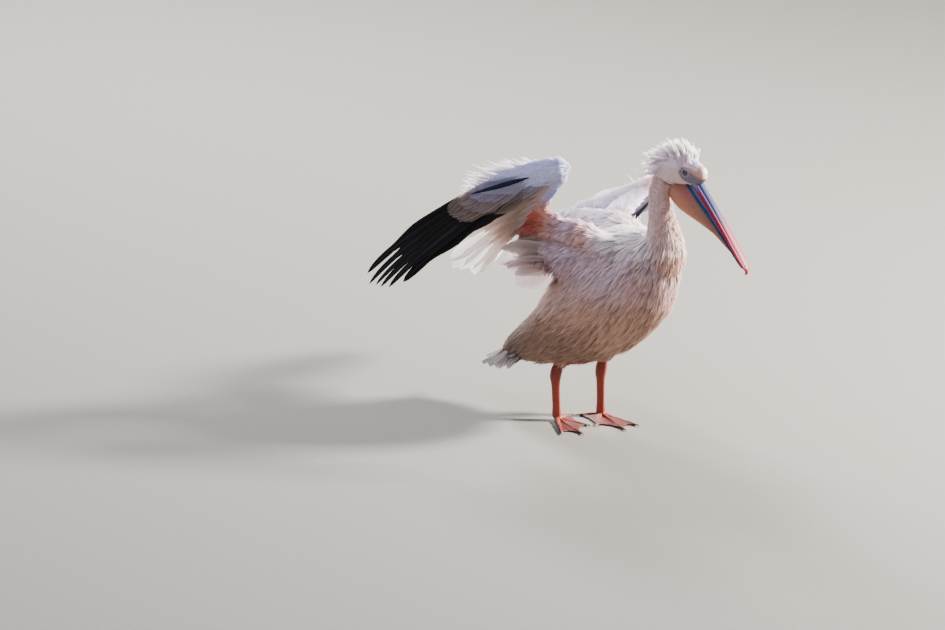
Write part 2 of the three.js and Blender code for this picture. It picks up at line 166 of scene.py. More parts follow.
def loft(stations, side=(1, 0, 0), sides=48, rings=60, cap=0.15, shape=None):
    """A bmesh of a rounded body along a smooth spine. Each station is [centre, half width, half height], the
    half sizes in millimetres. Its ends round off over the share cap of its length. shape(t, angle) may give
    the girth's factor. The UV map holds (angle, length)."""
    spine = curve([s[0] for s in stations])
    girth = curve([[s[1] / 1000, s[2] / 1000, 0] for s in stations])
    bm = bmesh.new()
    bmesh.ops.create_uvsphere(bm, u_segments=sides, v_segments=rings, radius=1)
    ball = arrays(bm)
    t = np.arccos(np.clip(ball[:, 2], -1, 1)) / pi
    angle = np.arctan2(ball[:, 1], ball[:, 0])
    step = 1e-3
    along = unit(spine(t + step) - spine(t - step))
    across = unit(np.array(side) - along * (along @ np.array(side))[:, None])
    upward = np.cross(along, across)
    fullness = np.clip(np.minimum(t, 1 - t) / cap, 0, 1)
    at_pole = np.hypot(ball[:, 0], ball[:, 1]) < 1e-4
    swell = np.where(at_pole, 0, np.sqrt(1 - (1 - fullness) ** 2))
    if shape:
        swell = swell * shape(t, angle)
    size = girth(t)
    places = (
        spine(t)
        + across * (size[:, 0] * swell * np.cos(angle))[:, None]
        + upward * (size[:, 1] * swell * np.sin(angle))[:, None]
    )
    uv = bm.loops.layers.uv.new("Lengthways")
    bm.verts.ensure_lookup_table()
    turn = (angle / (2 * pi)) % 1
    for face in bm.faces:
        turns = [turn[loop.vert.index] for loop in face.loops]
        wraps = max(turns) - min(turns) > 0.5
        for loop, u in zip(face.loops, turns):
            loop[uv].uv = (u + 1 if wraps and u < 0.5 else u, t[loop.vert.index])
    put(bm, places)
    bmesh.ops.recalc_face_normals(bm, faces=bm.faces)
    return bm


def paint(mesh, colours):
    """Stores a colour for each vertex as the attribute that the materials read."""
    layer = mesh.color_attributes.new("tint", "FLOAT_COLOR", "POINT")
    full = np.ones((len(mesh.vertices), 4), np.float32)
    full[:, :3] = np.clip(colours, 0.004, 1.0)
    layer.data.foreach_set("color", full.ravel())


def adopt(name, mesh, finish, slot, replaces=()):
    """Makes a mesh a named piece that rides on the model."""
    mesh.shade_smooth()
    mesh.materials.append(finish)
    made = bpy.data.objects.new(name, mesh)
    bpy.context.scene.collection.objects.link(made)
    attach(made, "root")
    if replaces:
        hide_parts(*replaces)
    return made


# ---- Materials -------------------------------------------------------------------------------------

MULTIPLY = {"data_type": "RGBA", "blend_type": "MULTIPLY"}
TINT = {"attribute_name": "tint"}


def add(tree, kind, settings=None, out=0, **links):
    """Adds a node and gives its output out, or the node itself where out is None. settings are its own.
    A link's key is an input's name or its number after i. Its value is a socket to join or a plain value."""
    made = tree.nodes.new("ShaderNode" + kind)
    for key, value in (settings or {}).items():
        setattr(made, key, value)
    for key, value in links.items():
        socket = made.inputs[int(key[1:]) if key[1:].isdigit() else key.replace("_", " ")]
        if isinstance(value, bpy.types.NodeSocket):
            tree.links.new(value, socket)
        else:
            socket.default_value = value
    return made if out is None else made.outputs[out]


def start(name):
    made = bpy.data.materials.new(name)
    made.use_nodes = True
    made.node_tree.nodes.clear()
    return made, made.node_tree


def worn(tree, colour, pattern, low, high, dark, light):
    """A colour times a tone that runs from dark to light while the pattern runs from low to high."""
    tone = add(tree, "MapRange", i0=pattern, i1=low, i2=high, i3=dark, i4=light)
    return add(tree, "Mix", MULTIPLY, 2, i0=1.0, i6=colour, i7=tone)


def close(tree, solid, glow=0, colour=None, bump=None):
    """Ends a material with its solid shader, and with a share of light that glows through it from behind."""
    if glow:
        lit = add(tree, "BsdfTranslucent", Color=colour, Normal=bump)
        solid = add(tree, "MixShader", i0=glow, i1=solid, i2=lit)
    add(tree, "OutputMaterial", out=None, i0=solid)


def plumage(name, glow, barb_mm):
    """Small body feathers, grown keratin barbs. They look matt and soft, with the light of the far side in
    their tips. Each feather has its own colour, and a noise barb_mm across stands for the barbs."""
    made, tree = start(name)
    tint = add(tree, "Attribute", TINT, "Color")
    place = add(tree, "TexCoord", out="Object")
    grain = add(tree, "TexNoise", Vector=place, Scale=1000 / barb_mm, Detail=2.0)
    colour = worn(tree, tint, grain, 0.3, 0.7, 0.9, 1.06)
    bump = add(tree, "Bump", Strength=0.35, Distance=0.0004, Height=grain)
    solid = add(tree, "BsdfPrincipled", Base_Color=colour, Roughness=0.72, Specular_IOR_Level=0.25,
                Normal=bump)
    close(tree, solid, glow, colour, bump)
    return made


def vane(name, glow, roughness, shine):
    """Long feathers: a smooth web of barbs that slant from the shaft, which looks finely combed. The barbs
    are 0.5 mm apart in life and drawn at 1.4 mm, coarse enough to show. The UV map runs across the vane
    from its shaft and along it, in millimetres."""
    made, tree = start(name)
    tint = add(tree, "Attribute", TINT, "Color")
    parts = add(tree, "SeparateXYZ", out=None, i0=add(tree, "UVMap", {"uv_map": "Barbs"}))
    away = add(tree, "Math", {"operation": "ABSOLUTE"}, i0=parts.outputs[0])
    slant = add(tree, "Math", {"operation": "MULTIPLY_ADD"}, i0=away, i1=-1.3, i2=parts.outputs[1])
    barbs = add(tree, "CombineXYZ", i0=slant)
    comb = add(tree, "TexWave", {"wave_type": "BANDS"}, 1, Vector=barbs, Scale=0.22, Distortion=0.6)
    patch = add(tree, "TexNoise", Vector=barbs, Scale=0.09, Detail=3.0)
    colour = worn(tree, tint, patch, 0.3, 0.75, 0.86, 1.05)
    bump = add(tree, "Bump", Strength=0.4, Distance=0.0005, Height=comb)
    solid = add(tree, "BsdfPrincipled", Base_Color=colour, Roughness=roughness, Specular_IOR_Level=shine,
                Normal=bump)
    close(tree, solid, glow, colour, bump)
    return made


def hide(name, cell_mm, depth_mm, roughness, mottle=0.12, wet=0.0):
    """Living skin. It looks soft and a little deep: blood shows through, a mottle breaks the colour, and
    cells or scales cell_mm across stand up as bump."""
    made, tree = start(name)
    tint = add(tree, "Attribute", TINT, "Color")
    spot = add(tree, "TexCoord", out="Object")
    cells = add(tree, "TexVoronoi", {"feature": "DISTANCE_TO_EDGE"}, Vector=spot, Scale=1000 / cell_mm)
    cloud = add(tree, "TexNoise", Vector=spot, Scale=130.0, Detail=4.0)  # clouds about 8 mm across
    colour = worn(tree, tint, cloud, 0.3, 0.7, 1 - mottle, 1 + mottle * 0.5)
    colour = worn(tree, colour, cells, 0.0, 0.12, 1 - mottle, 1.0)
    bump = add(tree, "Bump", Strength=0.5, Distance=depth_mm / 1000, Height=cells)
    fold = add(tree, "Bump", Strength=0.4, Distance=0.001, Height=cloud, Normal=bump)
    close(tree, add(tree, "BsdfPrincipled", Base_Color=colour, Roughness=roughness, Subsurface_Weight=0.15,
                    Subsurface_Scale=0.004, Coat_Weight=wet, Coat_Roughness=0.3, Normal=fold))
    return made


def horn(name, roughness, streak, polish, shine=0.5):
    """A keratin sheath, grown in layers and rubbed by use. It looks satin, with streaks along it."""
    made, tree = start(name)
    tint = add(tree, "Attribute", TINT, "Color")
    drawn = add(tree, "Mapping", i0=add(tree, "UVMap", {"uv_map": "Lengthways"}), i3=(38.0, 5.0, 1.0))
    lines = add(tree, "TexNoise", Vector=drawn, Scale=1.6, Detail=5.0, Roughness=0.65)
    colour = worn(tree, tint, lines, 0.32, 0.68, 1 - streak, 1 + streak * 0.6)
    bump = add(tree, "Bump", Strength=0.35, Distance=0.0006, Height=lines)
    close(tree, add(tree, "BsdfPrincipled", Base_Color=colour, Roughness=roughness, Specular_IOR_Level=shine,
                    Coat_Weight=polish, Coat_Roughness=0.2, Normal=bump))
    return made


def wet_eye():
    """A living eye, wet and clear. It looks black and sharp, with one bright glint from the tears on it."""
    made, tree = start("wet_eye")
    tint = add(tree, "Attribute", TINT, "Color")
    fleck = add(tree, "TexNoise", Vector=add(tree, "TexCoord", out="Object"), Scale=900.0, Detail=3.0)
    close(tree, add(tree, "BsdfPrincipled", Base_Color=worn(tree, tint, fleck, 0.3, 0.7, 0.7, 1.2),
                    Roughness=0.08, Coat_Weight=1.0, Coat_Roughness=0.03))
    return made


def studio_paper():
    """Matt seamless paper. It looks pale and plain, with a fibre too faint to draw the eye."""
    made, tree = start("matt_studio_paper")
    fibre = add(tree, "TexNoise", Vector=add(tree, "TexCoord", out="Object"), Scale=60.0, Detail=3.0)
    share = add(tree, "MapRange", i0=fibre, i1=0.3, i2=0.7)
    tone = add(tree, "Mix", {"data_type": "RGBA"}, 2, i0=share, i6=(*linear("#6C6B67"), 1),
               i7=(*linear("#706F6B"), 1))
    close(tree, add(tree, "BsdfPrincipled", Base_Color=tone, Roughness=0.9))
    return made


# Body feathers: soft and matt, and bright along the bird's lit edge.
DOWN = plumage("body_plumage", glow=0.22, barb_mm=1.2)
# Small feathers of the wing: a little thinner and coarser, so they glow more.
COVERT = plumage("covert_plumage", glow=0.3, barb_mm=1.6)
# White flight feathers, coverts, tail and crest: thin vanes that light comes through.
WHITE_VANE = vane("white_vane", glow=0.55, roughness=0.6, shine=0.3)
# Black flight feathers: dense dark vanes, with a faint satin sheen and no glow.
BLACK_VANE = vane("black_vane", glow=0.0, roughness=0.5, shine=0.12)
# The skin under the coat, and bare round the eye: fine-grained and matt.
BIRD_SKIN = hide("feathered_skin", cell_mm=2.2, depth_mm=0.15, roughness=0.6)
# Legs and webs: horny scales, rough and deeply parted.
LEG_SKIN = hide("scaled_leg_skin", cell_mm=3.4, depth_mm=0.5, roughness=0.55, mottle=0.22, wet=0.03)
# The pouch: thin stretched skin, satin and faintly damp.
POUCH_SKIN = hide("pouch_skin", cell_mm=3.0, depth_mm=0.25, roughness=0.45, mottle=0.16, wet=0.1)
# The bill's sheath: dull and streaked.
BILL_HORN = horn("bill_horn", roughness=0.5, streak=0.34, polish=0.03, shine=0.12)
# The hooked nail: the bill's hardest horn, worn glossy.
NAIL_HORN = horn("nail_horn", roughness=0.25, streak=0.12, polish=0.5)
# Claws: dull horn, a little polished.
CLAW_HORN = horn("claw_horn", roughness=0.4, streak=0.25, polish=0.1)
WET_EYE = wet_eye()
PAPER = studio_paper()

# ---- The pose: where each wing's joints and feather tips lie ---------------------------------------

WINGS = {
    "r": {
        "shoulder": at(-92, 26, 638),
        "elbow": at(-142, -219, 624),
        "wrist": at(-230, 0, 885),
        "manus": at(-342, -188, 820),
        "primary_tips": [
            at(-507, -529, 477), at(-515, -499, 437), at(-510, -467, 435), at(-490, -425, 439),
            at(-392, -394, 508), at(-365, -332, 553), at(-330, -254, 631),
        ],
        "secondary_tips": [
            at(-300, -262, 690), at(-305, -330, 610), at(-302, -376, 530), at(-240, -372, 480),
            at(-150, -362, 452), at(-125, -318, 465), at(-118, -310, 535),
        ],
        "ruffle_roots": [at(-252, -60, 884), at(-300, -132, 852), at(-344, -206, 804), at(-366, -250, 752)],
        "ruffle_tips": [
            at(-290, -118, 915), at(-345, -198, 882), at(-376, -236, 838), at(-380, -262, 806),
            at(-382, -276, 756),
        ],
        "scapular_tips": [
            at(-150, -196, 585), at(-160, -208, 558), at(-160, -262, 507), at(-160, -240, 480),
            at(-130, -188, 408),
        ],
    },
    "l": {
        "shoulder": at(92, 26, 632),
        "elbow": at(142, -205, 602),
        "wrist": at(360, 50, 760),
        "manus": at(385, -100, 585),
        "primary_tips": [
            at(440, -415, 330), at(425, -428, 355), at(405, -424, 385), at(380, -395, 430),
            at(350, -350, 490), at(325, -300, 560),
        ],
        "secondary_tips": [
            at(300, -270, 590), at(270, -310, 530), at(235, -320, 470), at(190, -300, 440),
            at(165, -250, 480),
        ],
        "ruffle_roots": [at(374, -2, 730), at(382, -46, 678), at(389, -92, 625), at(394, -130, 588)],
        "ruffle_tips": [at(398, -54, 752), at(412, -104, 706), at(422, -160, 650), at(426, -216, 586)],
        "scapular_tips": [
            at(150, -150, 575), at(160, -180, 540), at(156, -215, 490), at(150, -220, 450),
            at(120, -216, 392),
        ],
    },
}
for wing_name, pose in WINGS.items():
    side = 1 if wing_name == "l" else -1
    pose["side"] = side
    pose["chord"] = unit(pose["primary_tips"][-1] - pose["primary_tips"][0])
    to_tips = pose["primary_tips"][3] - pose["manus"]
    pose["palm"] = unit(np.cross(pose["wrist"] - pose["manus"], to_tips)) * side
    pose["scapular_roots"] = [
        at(side * 116, -44, 604), at(side * 124, -34, 578),
        at(side * 126, -30, 556), at(side * 118, -84, 517),
    ]

BILL_LENGTH = 326
BILL_PITCH = radians(46.5)
BILL_YAW = radians(4)
BILL_ROOT = at(0, 368, 888)
BILL_AXIS = np.array([-sin(BILL_YAW) * cos(BILL_PITCH), -cos(BILL_YAW) * cos(BILL_PITCH), -sin(BILL_PITCH)])
BILL_SIDE = np.array([cos(BILL_YAW), -sin(BILL_YAW), 0])
BILL_TOP = unit(np.cross(BILL_AXIS, BILL_SIDE))
EYES = {1: at(27.5, 326, 914), -1: at(-27.5, 326, 914)}
EYE_RADIUS = 0.008


def on_bill(out, below):
    """A place on the bill, in millimetres out from the forehead and below the ridge."""
    return BILL_ROOT + (BILL_AXIS * out - BILL_TOP * below) / 1000


# ---- The camera, the floor and the light -----------------------------------------------------------

CAMERA_TURN, CAMERA_TIP, CAMERA_ROLL = radians(-57), radians(18), radians(5.5)
CAMERA_BACK, CAMERA_LEFT, CAMERA_ABOVE = 33.58, 0.368, 0.296  # from mid-stance, along and across the view
LENS_MM, SENSOR_MM, SIGHT = 400, 36, 100
FLOOR_SIZE = 14
HEART = at(0, 60, 450)  # what the lamps point at
SKY_COLOUR, SKY_STRENGTH = (0.80, 0.86, 1.0, 1), 0.13
LAMPS = {  # metres right, away and up from the heart, the lamp's size, its watts and its colour
    "key": (5.5, 1.7, 3.2, 0.9, 3700, (1.0, 0.93, 0.84)),
    "rim": (-2.4, 4.4, 3.2, 1.6, 1000, (1.0, 0.97, 0.94)),
    "sky": (-0.8, -1.6, 4.6, 3.5, 190, (0.72, 0.78, 1.0)),
    "fill": (-2.5, -5.0, 1.8, 4.0, 75, (1.0, 0.86, 0.78)),
}


def studio():
    """A long lens from the bird's right and a little ahead, a soft back light high on the far side, and a
    weak fill."""
    scene = bpy.context.scene
    right = np.array([cos(CAMERA_TURN), sin(CAMERA_TURN), 0])
    away = np.array([-sin(CAMERA_TURN), cos(CAMERA_TURN), 0])
    up = np.array([0, 0, 1.0])
    view = away * cos(CAMERA_TIP) - up * sin(CAMERA_TIP)
    lifted = away * sin(CAMERA_TIP) + up * cos(CAMERA_TIP)
    camera_x = right * cos(CAMERA_ROLL) + lifted * sin(CAMERA_ROLL)
    camera_y = lifted * cos(CAMERA_ROLL) - right * sin(CAMERA_ROLL)
    lens = bpy.data.cameras.new("camera")
    lens.lens, lens.sensor_width, lens.clip_end = LENS_MM, SENSOR_MM, SIGHT
    turned = Matrix([list(camera_x), list(camera_y), list(-view)]).transposed().to_4x4()
    place = MID_STANCE - right * CAMERA_LEFT + lifted * CAMERA_ABOVE - view * CAMERA_BACK
    turned.translation = Vector(place)
    scene.camera = bpy.data.objects.new("camera", lens)
    scene.collection.objects.link(scene.camera)
    scene.camera.matrix_world = turned

    bm = bmesh.new()
    bmesh.ops.create_grid(bm, x_segments=2, y_segments=2, size=FLOOR_SIZE)
    floor = bpy.data.objects.new("floor", mesh_from(bm, "floor"))
    floor.data.materials.append(PAPER)
    scene.collection.objects.link(floor)

    scene.world = bpy.data.worlds.new("studio")
    scene.world.use_nodes = True
    sky = scene.world.node_tree.nodes["Background"]
    sky.inputs[0].default_value, sky.inputs[1].default_value = SKY_COLOUR, SKY_STRENGTH
    for name, (aside, beyond, above, size, watts, colour) in LAMPS.items():
        lamp = bpy.data.lights.new(name, "AREA")
        lamp.size, lamp.energy, lamp.color = size, watts, colour
        holder = bpy.data.objects.new(name, lamp)
        holder.location = HEART + right * aside + away * beyond + up * above
        holder.rotation_euler = (Vector(HEART) - holder.location).to_track_quat("-Z", "Y").to_euler()
        scene.collection.objects.link(holder)


studio()

# ---- The skin --------------------------------------------------------------------------------------

ARM_NODES = [f"wing_{s}_{part}" for s in "rl" for part in ("upper_arm", "forearm", "hand")]
FLESH = ["trunk", "neck_lower", "neck_upper", "head", "thigh_l", "thigh_r"] + ARM_NODES
BODY_VOXEL, LEG_VOXEL = 0.006, 0.00182
SWELL = 0.0012  # how much the pieces of flesh are swelled, to close the cuts between them


def remeshed(bm, voxel):
    """The outer shell of overlapping or touching closed bodies, as evenly spaced quads."""
    mesh = mesh_from(bm)
    holder = bpy.data.objects.new("shell", mesh)
    bpy.context.scene.collection.objects.link(holder)
    modifier = holder.modifiers.new("shell", "REMESH")
    modifier.mode, modifier.voxel_size, modifier.adaptivity = "VOXEL", voxel, 0
    bpy.context.view_layer.update()
    made = bpy.data.meshes.new_from_object(holder.evaluated_get(bpy.context.evaluated_depsgraph_get()))
    bpy.data.objects.remove(holder)
    bpy.data.meshes.remove(mesh)
    return made


class Net:
    """A mesh as arrays, with averages taken over its edges."""

    def __init__(self, mesh):
        self.places = read(mesh.vertices, "co", 3)
        self.count = len(self.places)
        self.a, self.b = read(mesh.edges, "vertices", 2, int).T
        self.degree = np.maximum(np.bincount(np.r_[self.a, self.b], minlength=self.count), 1)

    def gather(self, to_a, to_b):
        """Sums, at each vertex, what its edges bring."""
        columns = [
            np.bincount(self.a, to_a[:, k], self.count) + np.bincount(self.b, to_b[:, k], self.count)
            for k in range(to_a.shape[1])
        ]
        return np.stack(columns, 1)

    def smooth(self, values, rounds, share=0.5):
        for _ in range(rounds):
            around = self.gather(values[self.b], values[self.a]) / self.degree[:, None]
            values = values + (around - values) * share
        return values

    def even(self, values, rounds):
        """Smooths without shrinking: each step inwards is followed by one outwards."""
        for _ in range(rounds):
            values = self.smooth(self.smooth(values, 1, 0.6), 1, -0.62)
        return values


def nearest_node(places):
    """The index in FLESH of the CAD node nearest to each place."""
    gaps = []
    for name in FLESH:
        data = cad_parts[name].data
        tree = BVHTree.FromPolygons([v.co for v in data.vertices], [p.vertices for p in data.polygons])
        gaps.append([tree.find_nearest(p)[3] for p in places])
    return np.argmin(gaps, axis=0)


def bridges():
    """Flesh across the joints, so that the neck, the shoulders and the armpits run into one another."""
    yield loft([[at(0, 240, 690), 42, 48], [at(0, 229, 750), 34.5, 39.5], [at(0, 221, 800), 32.5, 37],
                [at(0, 221, 828), 31.5, 36], [at(0, 229, 860), 30.5, 38], [at(0, 246, 888), 31, 42]],
               cap=0.1)
    yield loft([[at(0, 246, 690), 48, 58], [at(0, 250, 640), 64, 67], [at(0, 239, 570), 88, 78],
                [at(0, 207, 490), 108, 100], [at(0, 160, 420), 116, 114]], cap=0.2)
    for pose in WINGS.values():
        side, shoulder, elbow = pose["side"], pose["shoulder"], pose["elbow"]
        yield loft([[at(side * 52, 185, 590), 40, 44], [at(side * 78, 110, 606), 46, 52],
                    [mix(shoulder, elbow, 0.1), 48, 46], [mix(shoulder, elbow, 0.5), 44, 36]], cap=0.3)
        yield loft([[at(side * 96, 60, 560), 44, 70], [at(side * 118, -20, 552), 36, 66],
                    [at(side * 128, -85, 560), 26, 50], [at(side * 136, -150, 585), 16, 30]], cap=0.3)


def body_shell():
    """The flesh as one shell, evened out all over, smoothed more on the trunk and most at the shoulders."""
    bm = bmesh.new()
    for name in FLESH:
        bm.from_mesh(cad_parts[name].data)
    bmesh.ops.remove_doubles(bm, verts=bm.verts, dist=1e-5)
    bm.normal_update()
    for v in bm.verts:
        v.co += v.normal * SWELL
    mesh = remeshed(join(bm, bridges()), BODY_VOXEL)
    net = Net(mesh)
    member = np.eye(len(FLESH))[nearest_node(net.places)]
    first_arm = FLESH.index(ARM_NODES[0])
    trunk, arms = (net.smooth(member[:, k], 28).sum(1) for k in ([0], range(first_arm, len(FLESH))))
    shoulder = rise(4 * trunk * arms, 0.05, 0.5)[:, None]
    places = net.even(net.places, 10)
    places = net.smooth(places, 42, 0.5 * trunk[:, None])
    places = net.smooth(places, 49, 0.9 * shoulder)
    move(mesh, places)
    return mesh


def refine(mesh, centres, radius):
    """Halves the edges close to the given points."""
    bm = bmesh.new()
    bm.from_mesh(mesh)
    places = arrays(bm)
    within = np.min([np.linalg.norm(places - p, axis=1) / r for p, r in zip(centres, radius)], axis=0) < 1
    edges = [e for e in bm.edges if within[e.verts[0].index] and within[e.verts[1].index]]
    bmesh.ops.subdivide_edges(bm, edges=edges, cuts=1, use_grid_fill=True, smooth=0.3)
    bmesh.ops.triangulate(bm, faces=[f for f in bm.faces if len(f.verts) > 4])
    bm.to_mesh(mesh)
    bm.free()
    mesh.update()


skin_mesh = body_shell()
refine(skin_mesh, [at(0, 300, 912), at(0, 225, 850)], [0.115, 0.05])  # the head, then the top of the neck
refine(skin_mesh, [EYES[1], EYES[-1]], [0.026, 0.026])
net = Net(skin_mesh)
share_of = net.smooth(np.eye(len(FLESH))[nearest_node(net.places)], 8)


def share(*names):
    """How far each place of the skin belongs to the named nodes, from 0 to 1."""
    return share_of[:, [FLESH.index(n) for n in names]].sum(1)


HEAD = share("head")
NECK = share("neck_upper")
LOW_NECK = share("neck_lower")
NAPE = LOW_NECK + NECK
TRUNK = share("trunk")
THIGH = share("thigh_l", "thigh_r")
ARMS = share(*ARM_NODES)
UPPER_ARM = share("wing_l_upper_arm", "wing_r_upper_arm")

# ---- What the coat is like at each place of the skin -----------------------------------------------


def lie_by_guides(places, guides):
    """The direction of the nearest guide lines, which run the way that the feathers lie."""
    total = np.zeros_like(places)
    for points in guides:
        line = curve(points)(np.linspace(0, 1, 9))
        for a, b in zip(line[:-1], line[1:]):
            run = b - a
            t = np.clip(((places - a) @ run) / (run @ run), 0, 1)[:, None]
            gap = np.linalg.norm(places - (a + run * t), axis=1)
            total += unit(run) / (gap[:, None] ** 2 + 0.0003) ** 1.5
    return unit(total)


def both(*points):
    """A guide line on each side."""
    return [[at(side * x, y, z) for x, y, z in points] for side in (1, -1)]


BODY_GUIDES = [
    [at(0, 262, 760), at(0, 300, 670), at(0, 290, 560), at(0, 255, 420), at(0, 190, 310), at(0, 90, 240),
     at(-10, -40, 190), at(-35, -160, 165), at(-60, -280, 160)],
    [at(0, 190, 800), at(0, 188, 740), at(0, 140, 700), at(0, 50, 660), at(0, -60, 570), at(-10, -150, 430),
     at(-30, -230, 290), at(-55, -290, 190)],
    *both((45, 225, 740), (80, 220, 650), (130, 150, 530), (156, 60, 400), (140, -50, 285),
          (100, -150, 210)),
    *both((40, 205, 720), (75, 130, 665), (125, 60, 600), (165, -20, 480), (150, -90, 360),
          (100, -190, 230)),
    *both((30, 250, 740), (70, 270, 620), (110, 230, 480), (130, 150, 350), (110, 40, 260), (80, -120, 190)),
]
HEAD_GUIDES = [
    [at(0, 385, 915), at(0, 345, 955), at(0, 285, 968), at(0, 225, 945), at(0, 185, 890), at(0, 190, 820)],
    *both((22, 372, 905), (34, 330, 930), (40, 280, 920), (38, 235, 890), (30, 215, 840)),
    *both((24, 350, 885), (34, 310, 880), (36, 270, 868), (30, 245, 845)),
    [at(0, 270, 860), at(0, 256, 830), at(0, 250, 780)],
]


def lie_of_coat(places):
    """The way the coat lies: back over head and body, down the neck and thighs, and out along the wings."""
    flow = lie_by_guides(places, BODY_GUIDES) * (TRUNK + LOW_NECK)[:, None]
    flow += lie_by_guides(places, HEAD_GUIDES) * (HEAD + NECK * 0.5)[:, None]
    flow += np.array([0, 0.05, -1.0]) * (NECK * 0.6)[:, None]
    flow += np.array([0, 0.35, -1.0]) * THIGH[:, None]
    for name, pose in WINGS.items():
        fore = pose["wrist"] - pose["elbow"]
        trailing = np.mean(pose["secondary_tips"], axis=0) - (pose["wrist"] + pose["elbow"]) / 2
        out = unit(pose["elbow"] - pose["shoulder"])
        across = unit(trailing - unit(fore) * (trailing @ unit(fore)))
        hand = unit(pose["manus"] - pose["wrist"])
        flow += unit(out + np.array([0, 0.3, -1.0])) * share(f"wing_{name}_upper_arm")[:, None]
        flow += unit(across + unit(fore) * 0.25) * share(f"wing_{name}_forearm")[:, None]
        flow += unit(hand + pose["chord"] * 0.35) * share(f"wing_{name}_hand")[:, None]
    return flow


def bare_patch(spots):
    """How bare the face is: 1 on the skin round the eye, which narrows to the root of the bill."""
    ahead, high = spots[:, 1] - 343, spots[:, 2] - 905
    turned = ahead * 0.93 - high * 0.36
    raised = ahead * 0.36 + high * 0.93
    patch = 1 - rise(np.hypot(turned / 43, raised / 25), 0.8, 1.1)
    return np.maximum(patch, rise(spots[:, 1] + 0.3 * (905 - spots[:, 2]), 352, 362))


def coat_depth(spots):
    """How far the coat stands off the skin, in metres."""
    body = mix(0.007, 0.010, rise(spots[:, 2], 380, 620))
    neck = mix(0.009, 0.0035, rise(spots[:, 2], 640, 790))
    depth = body * TRUNK + neck * NAPE + 0.003 * HEAD + 0.007 * THIGH + 0.005 * ARMS
    return depth * (1 - bare_patch(spots) * HEAD)


def eye_sockets(places):
    """Opens a round socket for each eye, with the rim of the lids standing round it."""
    for side, centre in EYES.items():
        rel = places - centre
        out = rel[:, 0] * side
        off = np.hypot(rel[:, 1], rel[:, 2])
        inner = (off < 0.0068) & (out > -0.004)
        places[inner, 0] = centre[0] - side * 0.003
        rim = bell(off, 0.0088, 0.0016) * (out > -0.004)
        places[:, 0] += side * rim * 0.0012
    return places


def square_to(normal, flow):
    """The directions turned to lie flat on the skin."""
    return unit(flow - normal * (flow * normal).sum(1)[:, None])


normal = read(skin_mesh.vertices, "normal", 3)
spots = local(net.places)
MANE = LOW_NECK * rise(spots[:, 1], 235, 285)  # the ruff of the lower neck's front
depth = net.smooth((coat_depth(spots) - 0.004 * MANE)[:, None], 4)
places = net.places - normal * depth
cheek = (1 - rise(spots[:, 2], 888, 905)) * (1 - rise(spots[:, 1], 335, 352)) * rise(spots[:, 1], 228, 262)
# The head's edge stands out a little, with a dip behind it.
jowl = 0.004 * bell(HEAD, 0.85, 0.2) - 0.004 * bell(HEAD, 0.4, 0.16)
places = eye_sockets(places + normal * (cheek * jowl)[:, None])
move(skin_mesh, places)
normal = read(skin_mesh.vertices, "normal", 3)
spots = local(places)
flow = square_to(normal, unit(net.smooth(square_to(normal, lie_of_coat(places)), 3)))


def bend_along(flow):
    """The skin's curvature along the lie of the coat, positive where it bulges."""
    run = places[net.b] - places[net.a]
    turn = normal[net.b] - normal[net.a]

    def terms(vertex):
        reach = (run * flow[vertex]).sum(1)
        return np.stack([(turn * flow[vertex]).sum(1) * reach, reach * reach], 1)

    sums = net.gather(terms(net.a), terms(net.b))
    return np.clip(net.smooth((sums[:, 0] / np.maximum(sums[:, 1], 1e-12))[:, None], 6)[:, 0], -8, 60)


BEND = bend_along(flow)


def plumage_colour():
    """The coat's colour by place: white, flushed pink, with its own buff on the breast and flanks and the
    warm
    bare places that show at the shoulders, the belly and under the wings. Painted light lies over it:
    painted shade on the sides that face down, a lilac of painted sky light on the crown, the arms and the
    upper flanks, darker brown painted shade low on the body, and a painted shadow under the cheek."""
    left, ahead, high = spots.T
    # below: how far the skin faces sideways and down, where the painted shade and painted sky light go.
    below = rise(-normal[:, 2], -0.85, 0.0)
    crown = rise(high, 915, 945)
    upper = TRUNK * rise(high, 430, 590) * (1 - 0.6 * rise(ahead, 150, 240))
    return tinted(
        "#FDF3F4",
        # The buff of the breast, flanks and neck front, darkened as painted shade where they face sideways
        # and down.
        ("#D2AA98", (TRUNK + (LOW_NECK + 0.5 * NECK) * rise(ahead, 222, 258)) * below),
        ("#D0A69E", 0.7 * (NECK + LOW_NECK * rise(high, 640, 760))),
        # Painted sky light: a lilac tint on the top of the head.
        ("#DCC6DC", 0.85 * HEAD * crown),
        ("#E0C4C4", 0.8 * HEAD * (1 - crown)),
        # Painted sky light: a blue-lilac tint over the wings' arms.
        ("#C6CBFF", 0.8 * ARMS),
        # Painted shade: the sides of the upper body lilac, as sky light in the shade.
        ("#DCC4DA", 0.85 * upper * below),
        # Painted shade: the low flanks, belly and rump darker brown.
        ("#93786A", 0.75 * TRUNK * (1 - rise(high, 290, 440)) * (1 - rise(ahead, 90, 200))),
        ("#9A8B82", 0.6 * TRUNK * (1 - rise(ahead, -190, -60)) * (1 - rise(high, 330, 480))),
        ("#C4604C", 0.5 * near(spots, (0, 10, 225), (130, 170, 70))),
        ("#B97A6A", 0.8 * THIGH),
        # Painted shadow of the cheek's edge on the neck below it.
        ("#9A6450", 0.85 * bell(HEAD, 0.3, 0.16) * cheek),
        *(("#F4C9B4", 0.4 * near(spots, (side * 20, 90, 680), (34, 40, 40))) for side in (1, -1)),
    )


